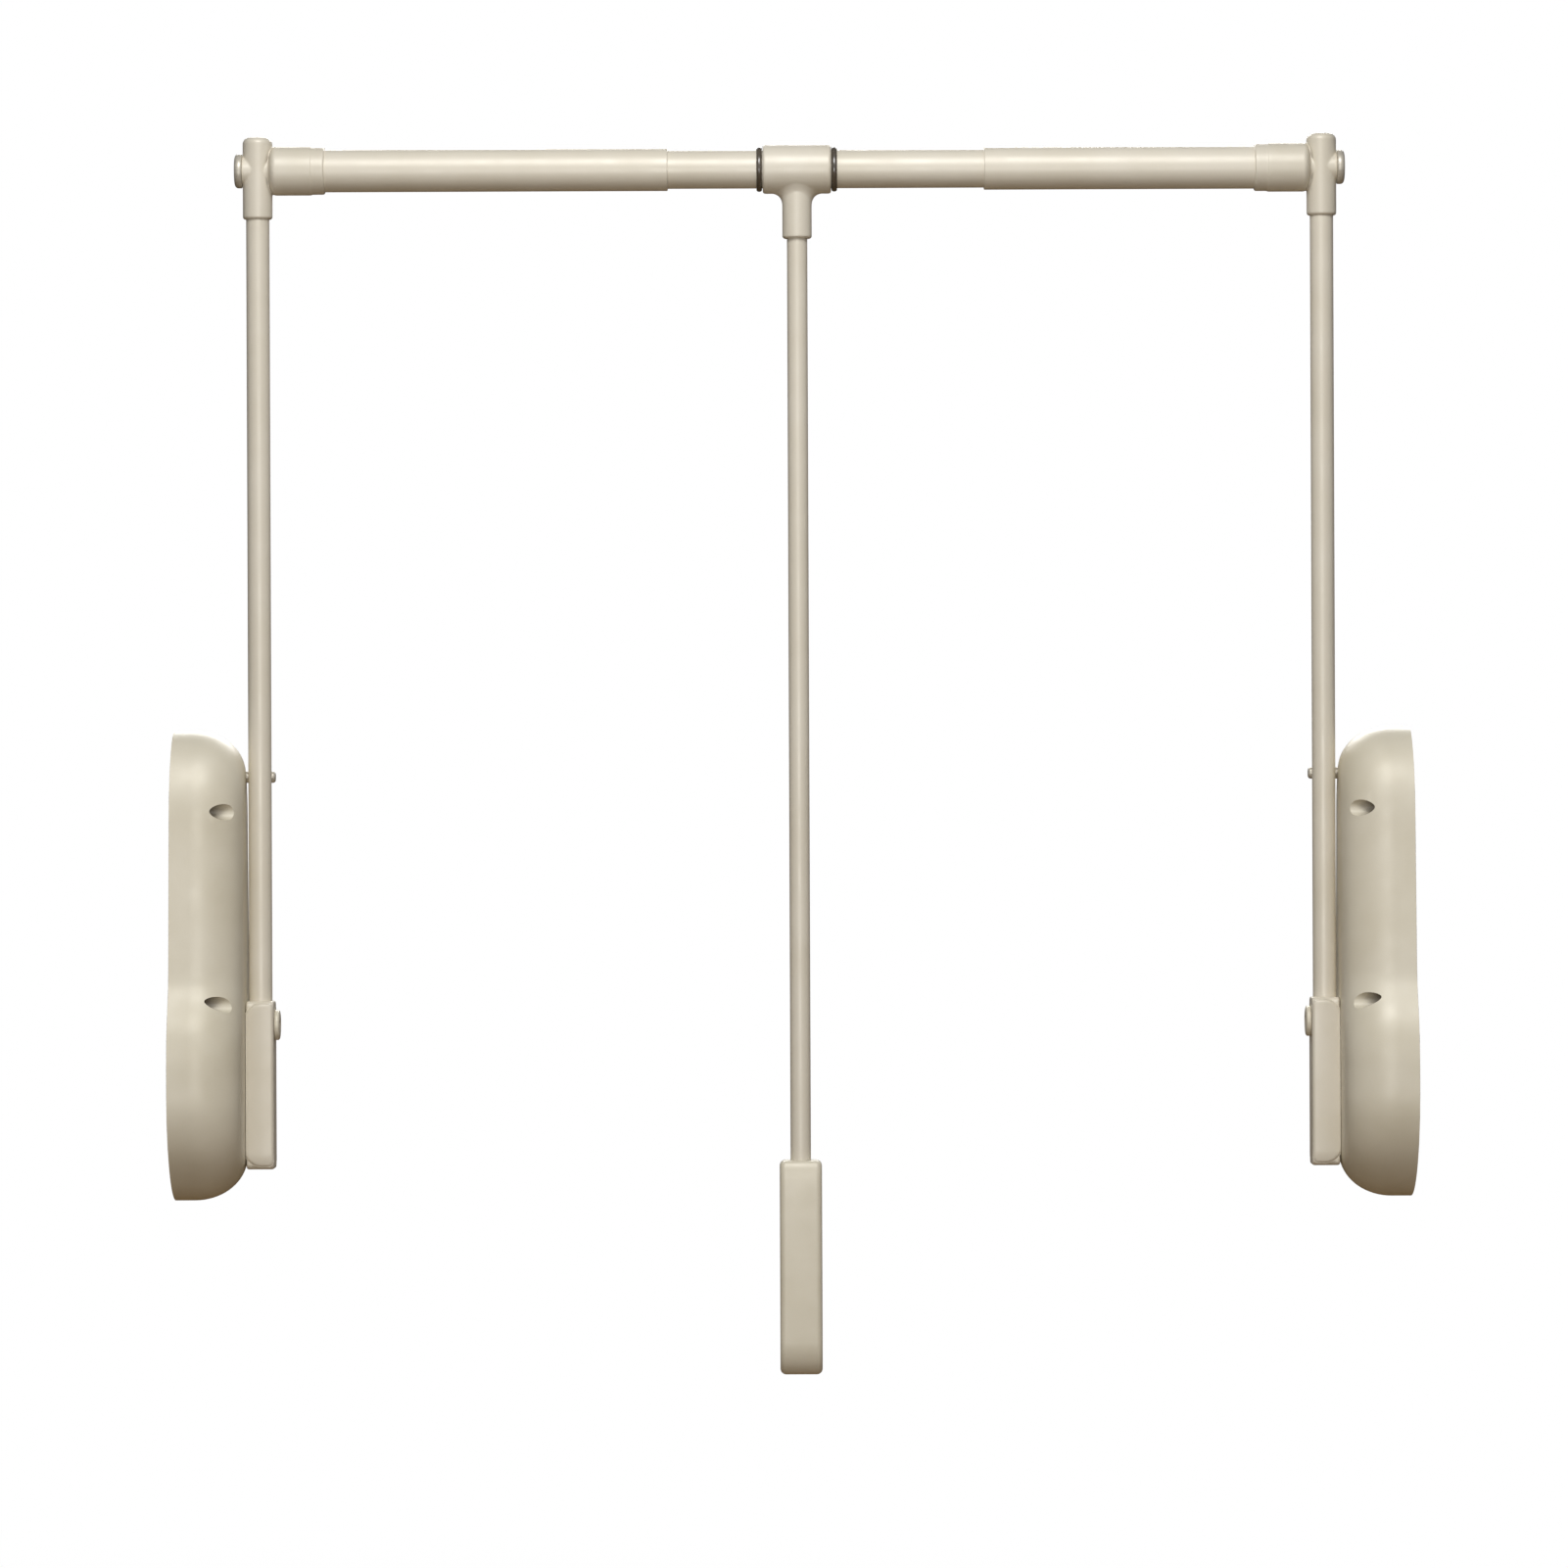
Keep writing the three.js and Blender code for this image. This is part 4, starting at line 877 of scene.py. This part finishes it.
# The telescopic hanging rod
def rod_tubes():
    left = along_x(turned("left_outer_pipe", pipe_rows(*LEFT_OUTER_PIPE), FINE), 0.0, REACH)
    dress(left, paint, "left_arm", "champagne_paint", "left_outer_tube", degrees=40.0)
    right = along_x(turned("right_outer_pipe", pipe_rows(*RIGHT_OUTER_PIPE), FINE), 0.0, REACH)
    dress(right, paint, "right_arm", "champagne_paint", "right_outer_tube", degrees=40.0)
    inner = along_x(turned("inner_pipe", pipe_rows(*INNER_PIPE), FINE), 0.0, REACH)
    dress(inner, paint, "centre_rod", "champagne_paint", "inner_tube", degrees=40.0)


# Each stop ring bulges like a rubber band that is stretched over the tube
def stop_rings():
    proud, half = RING_BULGE
    angles = [math.pi * (i / 12 - 0.5) for i in range(13)]
    for side, start in zip(SIDES, RING_STARTS):
        middle = start + RING_WIDE / 2
        bulge = [(RING_RADIUS + proud * math.cos(a), middle + half * math.sin(a)) for a in angles]
        near = (RING_INSIDE, start + RING_FOOT_SHORT)
        far = (RING_INSIDE, start + RING_WIDE - RING_FOOT_SHORT)
        rows = [near] + bulge + [far, near]
        ring = along_x(turned(side + "_band", rows, FINE), 0.0, REACH)
        dress(ring, rubber, "centre_rod", "black_rubber", side + "_stop_ring", degrees=60.0)


# The stem meets the collar in a saddle: at each angle round the stem the skirt leaves the stem
# upright and runs into the collar along the collar's own curve
def saddle(radius, collar, mouth, sides=FINE, steps=14):
    points = []
    rows = 0
    for level in (mouth, mouth + STEM_CHAMFER):
        for side in range(sides):
            angle = 2 * math.pi * side / sides
            reach = radius - (STEM_CHAMFER if level == mouth else 0.0)
            points.append((TEE_PLACE + reach * math.cos(angle), reach * math.sin(angle), level))
        rows += 1
    for step in range(steps + 1):
        share = step / steps
        for side in range(sides):
            angle = 2 * math.pi * side / sides
            across = abs(math.sin(angle))
            spread = SKIRT_SPREAD - SKIRT_SPREAD_LESS * across
            rim = radius + spread
            rim_z = -math.sqrt(collar ** 2 - (rim * across) ** 2)
            slope = rim * across ** 2 / -rim_z
            foot_z = rim_z - SKIRT_DROP + SKIRT_DROP_LESS * across
            bend_z = rim_z - slope * spread
            first = (1 - share) ** 2
            middle = 2 * share * (1 - share)
            last = share ** 2
            reach = first * radius + middle * radius + last * rim
            z = first * foot_z + middle * bend_z + last * rim_z
            points.append((TEE_PLACE + reach * math.cos(angle), reach * math.sin(angle), REACH + z))
        rows += 1
    for side in range(sides):
        angle = 2 * math.pi * side / sides
        points.append((TEE_PLACE + STEM_ROOT * math.cos(angle), STEM_ROOT * math.sin(angle), REACH))
    rows += 1
    faces = []
    for row in range(rows - 1):
        for side in range(sides):
            here = row * sides + side
            following = row * sides + (side + 1) % sides
            faces.append((here, following, following + sides, here + sides))
    faces.append(tuple(reversed(range(sides))))
    faces.append(tuple(range((rows - 1) * sides, rows * sides)))
    return mesh_object("stem", points, faces)


def tee():
    left = TEE_PLACE - TEE_HALF
    right = TEE_PLACE + TEE_HALF
    near = [(TEE_RADIUS - less, left + back) for less, back in TEE_ROUND]
    far = [(TEE_RADIUS - less, right - back) for less, back in reversed(TEE_ROUND)]
    rows = [(0.0, left)] + near + far + [(0.0, right)]
    collar = along_x(turned("tee_casting", rows, FINE), 0.0, REACH)
    mouth = REACH - TEE_DROP
    combine(collar, [saddle(STEM_RADIUS, SADDLE_RADIUS, mouth)], "UNION")
    cast(collar, voxel=0.42, rounds=6)
    cutters = [
        bar_x("bore", TEE_BORE, left - OVERRUN, right + OVERRUN, 0.0, REACH, FINE),
        bar_z("socket", PULL_SOCKET, TEE_PLACE, 0.0, mouth - OVERRUN, mouth + TEE_SOCKET_DEEP),
    ]
    combine(collar, cutters, "DIFFERENCE")
    dress(collar, paint, "handle", "champagne_paint", "tee", degrees=45.0)


def pull_rod():
    rod = along_z(turned("pull_pipe", pipe_rows(*PULL_PIPE)), TEE_PLACE, 0.0)
    dress(rod, paint, "handle", "champagne_paint", "pull_rod", degrees=40.0)


# The grip widens toward its rounded foot
def grip():
    half = GRIP_HALF
    half_top = GRIP_HALF_TOP
    foot = GRIP_TOP - GRIP_TALL + GRIP_FOOT_RISE
    shoulder = (half_top + 0.6, GRIP_TOP - GRIP_SHOULDER_DROP)
    flank = [(half, foot), (half, (foot + shoulder[1]) / 2), shoulder]
    rise = (half_top - 0.2, GRIP_TOP - 3.0)
    corner = [shoulder, rise, (half_top - 2.4, GRIP_TOP), (half_top - 5.0, GRIP_TOP)]
    loop = loop_of(
        arc(0, foot, half, GRIP_FOOT_RISE, -math.pi, 0, 48),
        bend(flank, 20),
        bend(corner, 12),
        bend(mirrored(corner), 12),
        bend(mirrored(flank), 20),
    )
    stations = rounded_stations(TEE_PLACE - GRIP_HALF_WIDE, TEE_PLACE + GRIP_HALF_WIDE, GRIP_EDGE, 10)
    body = loft("grip_moulding", loop, stations)
    end = GRIP_TOP + OVERRUN
    socket = bar_z("socket", PULL_SOCKET, TEE_PLACE, 0.0, GRIP_TOP - GRIP_SOCKET_DEEP, end)
    combine(body, [socket], "DIFFERENCE")
    dress(body, moulding, "handle", "champagne_plastic", "grip", degrees=40.0)


for hand in SIDES:
    housing(hand)
    lever(hand)
    clamp_cap(hand)
    arm_tube(hand)
    elbow(hand)
    elbow_bolt(hand)
    stop_pin(hand)
rod_tubes()
stop_rings()
tee()
pull_rod()
grip()

# Carried-over nodes get their finish and welded corners, and those with square edges a small edge round
INNER = {
    "base_plate": zinc, "pivot_shaft": dark_steel, "pivot_bush": black, "crank": dark_steel,
    "spring_yoke": zinc, "guide_rod": dark_steel, "spring_seat": zinc, "damper_cylinder": dark_steel,
    "damper_rod": dark_steel, "crosshead": zinc, "rod_plug": black,
}
SQUARE_EDGED = ("base_plate", "spring_seat", "spring_yoke", "crosshead", "crank")
EDGE_ROUND = 0.3
for hand in SIDES:
    for name, material in INNER.items():
        node = nodes[hand + "_" + name]
        node.data.materials.clear()
        node.data.materials.append(material)
        weld = node.modifiers.new("weld", "WELD")
        weld.merge_threshold = CLOSE * MM
        if name in SQUARE_EDGED:
            edges = node.modifiers.new("edges", "BEVEL")
            edges.width = EDGE_ROUND * MM
            edges.segments = 2
            edges.limit_method = "ANGLE"
            edges.angle_limit = math.radians(50)


# The lift spring shortens towards its seat as the yoke rises; a copy of it, with a mesh of its own, stands
# in for it
def coil_spring(side):
    node = nodes[side + "_lift_spring"]
    piece = bpy.data.objects.new(side + "_coil_spring", node.data.copy())
    piece.matrix_world = node.matrix_world.copy()
    bpy.context.collection.objects.link(piece)
    dress(piece, dark_steel, side + "_housing", "dark_steel", side + "_lift_spring", degrees=60.0)
    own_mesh(piece)


for hand in SIDES:
    coil_spring(hand)


# A floor under the part: nearly white to the camera, with a faint shadow close by, and warm brown to
# the light that it throws back
def stage_floor():
    floor = bpy.data.meshes.new("floor")
    reach = FLOOR_REACH
    flat = [(-reach, -reach), (reach, -reach), (reach, reach), (-reach, reach)]
    floor.from_pydata([(x, y, FLOOR_LEVEL) for x, y in flat], [], [(0, 1, 2, 3)])
    piece = bpy.data.objects.new("floor", floor)
    bpy.context.collection.objects.link(piece)
    material, tree, shader = principled("floor")
    shader.inputs["Base Color"].default_value = FLOOR_COLOUR
    shader.inputs["Roughness"].default_value = 0.9
    shader.inputs["Specular IOR Level"].default_value = 0.1
    path = tree.nodes.new("ShaderNodeLightPath")
    away = tree.nodes.new("ShaderNodeVectorMath")
    away.operation = "LENGTH"
    tree.links.new(object_coords(tree), away.inputs[0])
    fade = tree.nodes.new("ShaderNodeMapRange")
    fade.interpolation_type = "SMOOTHSTEP"
    fade.inputs["From Min"].default_value = SHADOW_REACH[0]
    fade.inputs["From Max"].default_value = SHADOW_REACH[1]
    fade.inputs["To Min"].default_value = FLOOR_SEEN_WHITE
    fade.inputs["To Max"].default_value = 1.0
    tree.links.new(away.outputs["Value"], fade.inputs["Value"])
    share = tree.nodes.new("ShaderNodeMath")
    share.operation = "MULTIPLY"
    tree.links.new(path.outputs["Is Camera Ray"], share.inputs[0])
    tree.links.new(fade.outputs["Result"], share.inputs[1])
    glow = tree.nodes.new("ShaderNodeEmission")
    glow.inputs["Color"].default_value = grey(1.0)
    glow.inputs["Strength"].default_value = 1.0
    blend = tree.nodes.new("ShaderNodeMixShader")
    tree.links.new(share.outputs[0], blend.inputs["Fac"])
    tree.links.new(shader.outputs["BSDF"], blend.inputs[1])
    tree.links.new(glow.outputs["Emission"], blend.inputs[2])
    tree.links.new(blend.outputs["Shader"], tree.nodes["Material Output"].inputs["Surface"])
    floor.materials.append(material)


# A soft lamp: place and size in metres, power in watts
def lamp(name, place, size, power, aim):
    data = bpy.data.lights.new(name, "AREA")
    data.shape = "RECTANGLE"
    data.size = size[0]
    data.size_y = size[1]
    data.energy = power
    data.color = LAMP_COLOUR
    piece = bpy.data.objects.new(name, data)
    piece.visible_camera = False
    piece.location = place
    piece.rotation_euler = (Vector(aim) - Vector(place)).to_track_quat("-Z", "Y").to_euler()
    bpy.context.collection.objects.link(piece)


# Light of the sky on the part, from the front (0) to the back (1)
SKY_GRADE = [
    (0.0, grey(0.36)),
    (0.25, grey(0.24)),
    (0.42, grey(0.13)),
    (0.55, grey(0.07)),
    (1.0, grey(0.03)),
]


# The sky is white to the camera; the part gets a dim light from it, mostly from the front
def sky():
    world = bpy.data.worlds.new("studio")
    bpy.context.scene.world = world
    world.use_nodes = True
    tree = world.node_tree
    background = tree.nodes["Background"]
    coords = tree.nodes.new("ShaderNodeTexCoord")
    parts = tree.nodes.new("ShaderNodeSeparateXYZ")
    tree.links.new(coords.outputs["Generated"], parts.inputs["Vector"])
    depth = tree.nodes.new("ShaderNodeMapRange")
    depth.inputs["From Min"].default_value = -1.0
    depth.inputs["From Max"].default_value = 1.0
    tree.links.new(parts.outputs["Y"], depth.inputs["Value"])
    grade = ramp(tree, depth.outputs["Result"], SKY_GRADE)
    path = tree.nodes.new("ShaderNodeLightPath")
    gloss = tree.nodes.new("ShaderNodeMath")
    gloss.operation = "MULTIPLY"
    gloss.inputs[1].default_value = GLOSS_SEES_WHITE
    tree.links.new(path.outputs["Is Glossy Ray"], gloss.inputs[0])
    seen = gloss.outputs[0]
    for kind in ("Is Camera Ray", "Is Transmission Ray"):
        larger = tree.nodes.new("ShaderNodeMath")
        larger.operation = "MAXIMUM"
        tree.links.new(seen, larger.inputs[0])
        tree.links.new(path.outputs[kind], larger.inputs[1])
        seen = larger.outputs[0]
    colour = mix_colour(tree, seen, grade, grey(1.0))
    tree.links.new(colour, background.inputs["Color"])
    background.inputs["Strength"].default_value = 1.0


stage_floor()
sky()
lamp("key", (0.38, -1.75, 2.05), (1.1, 0.9), 35.6, MIDDLE)
lamp("front_fill", (0.37, -2.3, 0.25), (0.6, 0.6), 11.5, LOW_MIDDLE)
lamp("back", (0.42, 2.3, 1.7), (1.9, 0.9), 46.0, MIDDLE)

bpy.context.scene.view_settings.view_transform = "Standard"
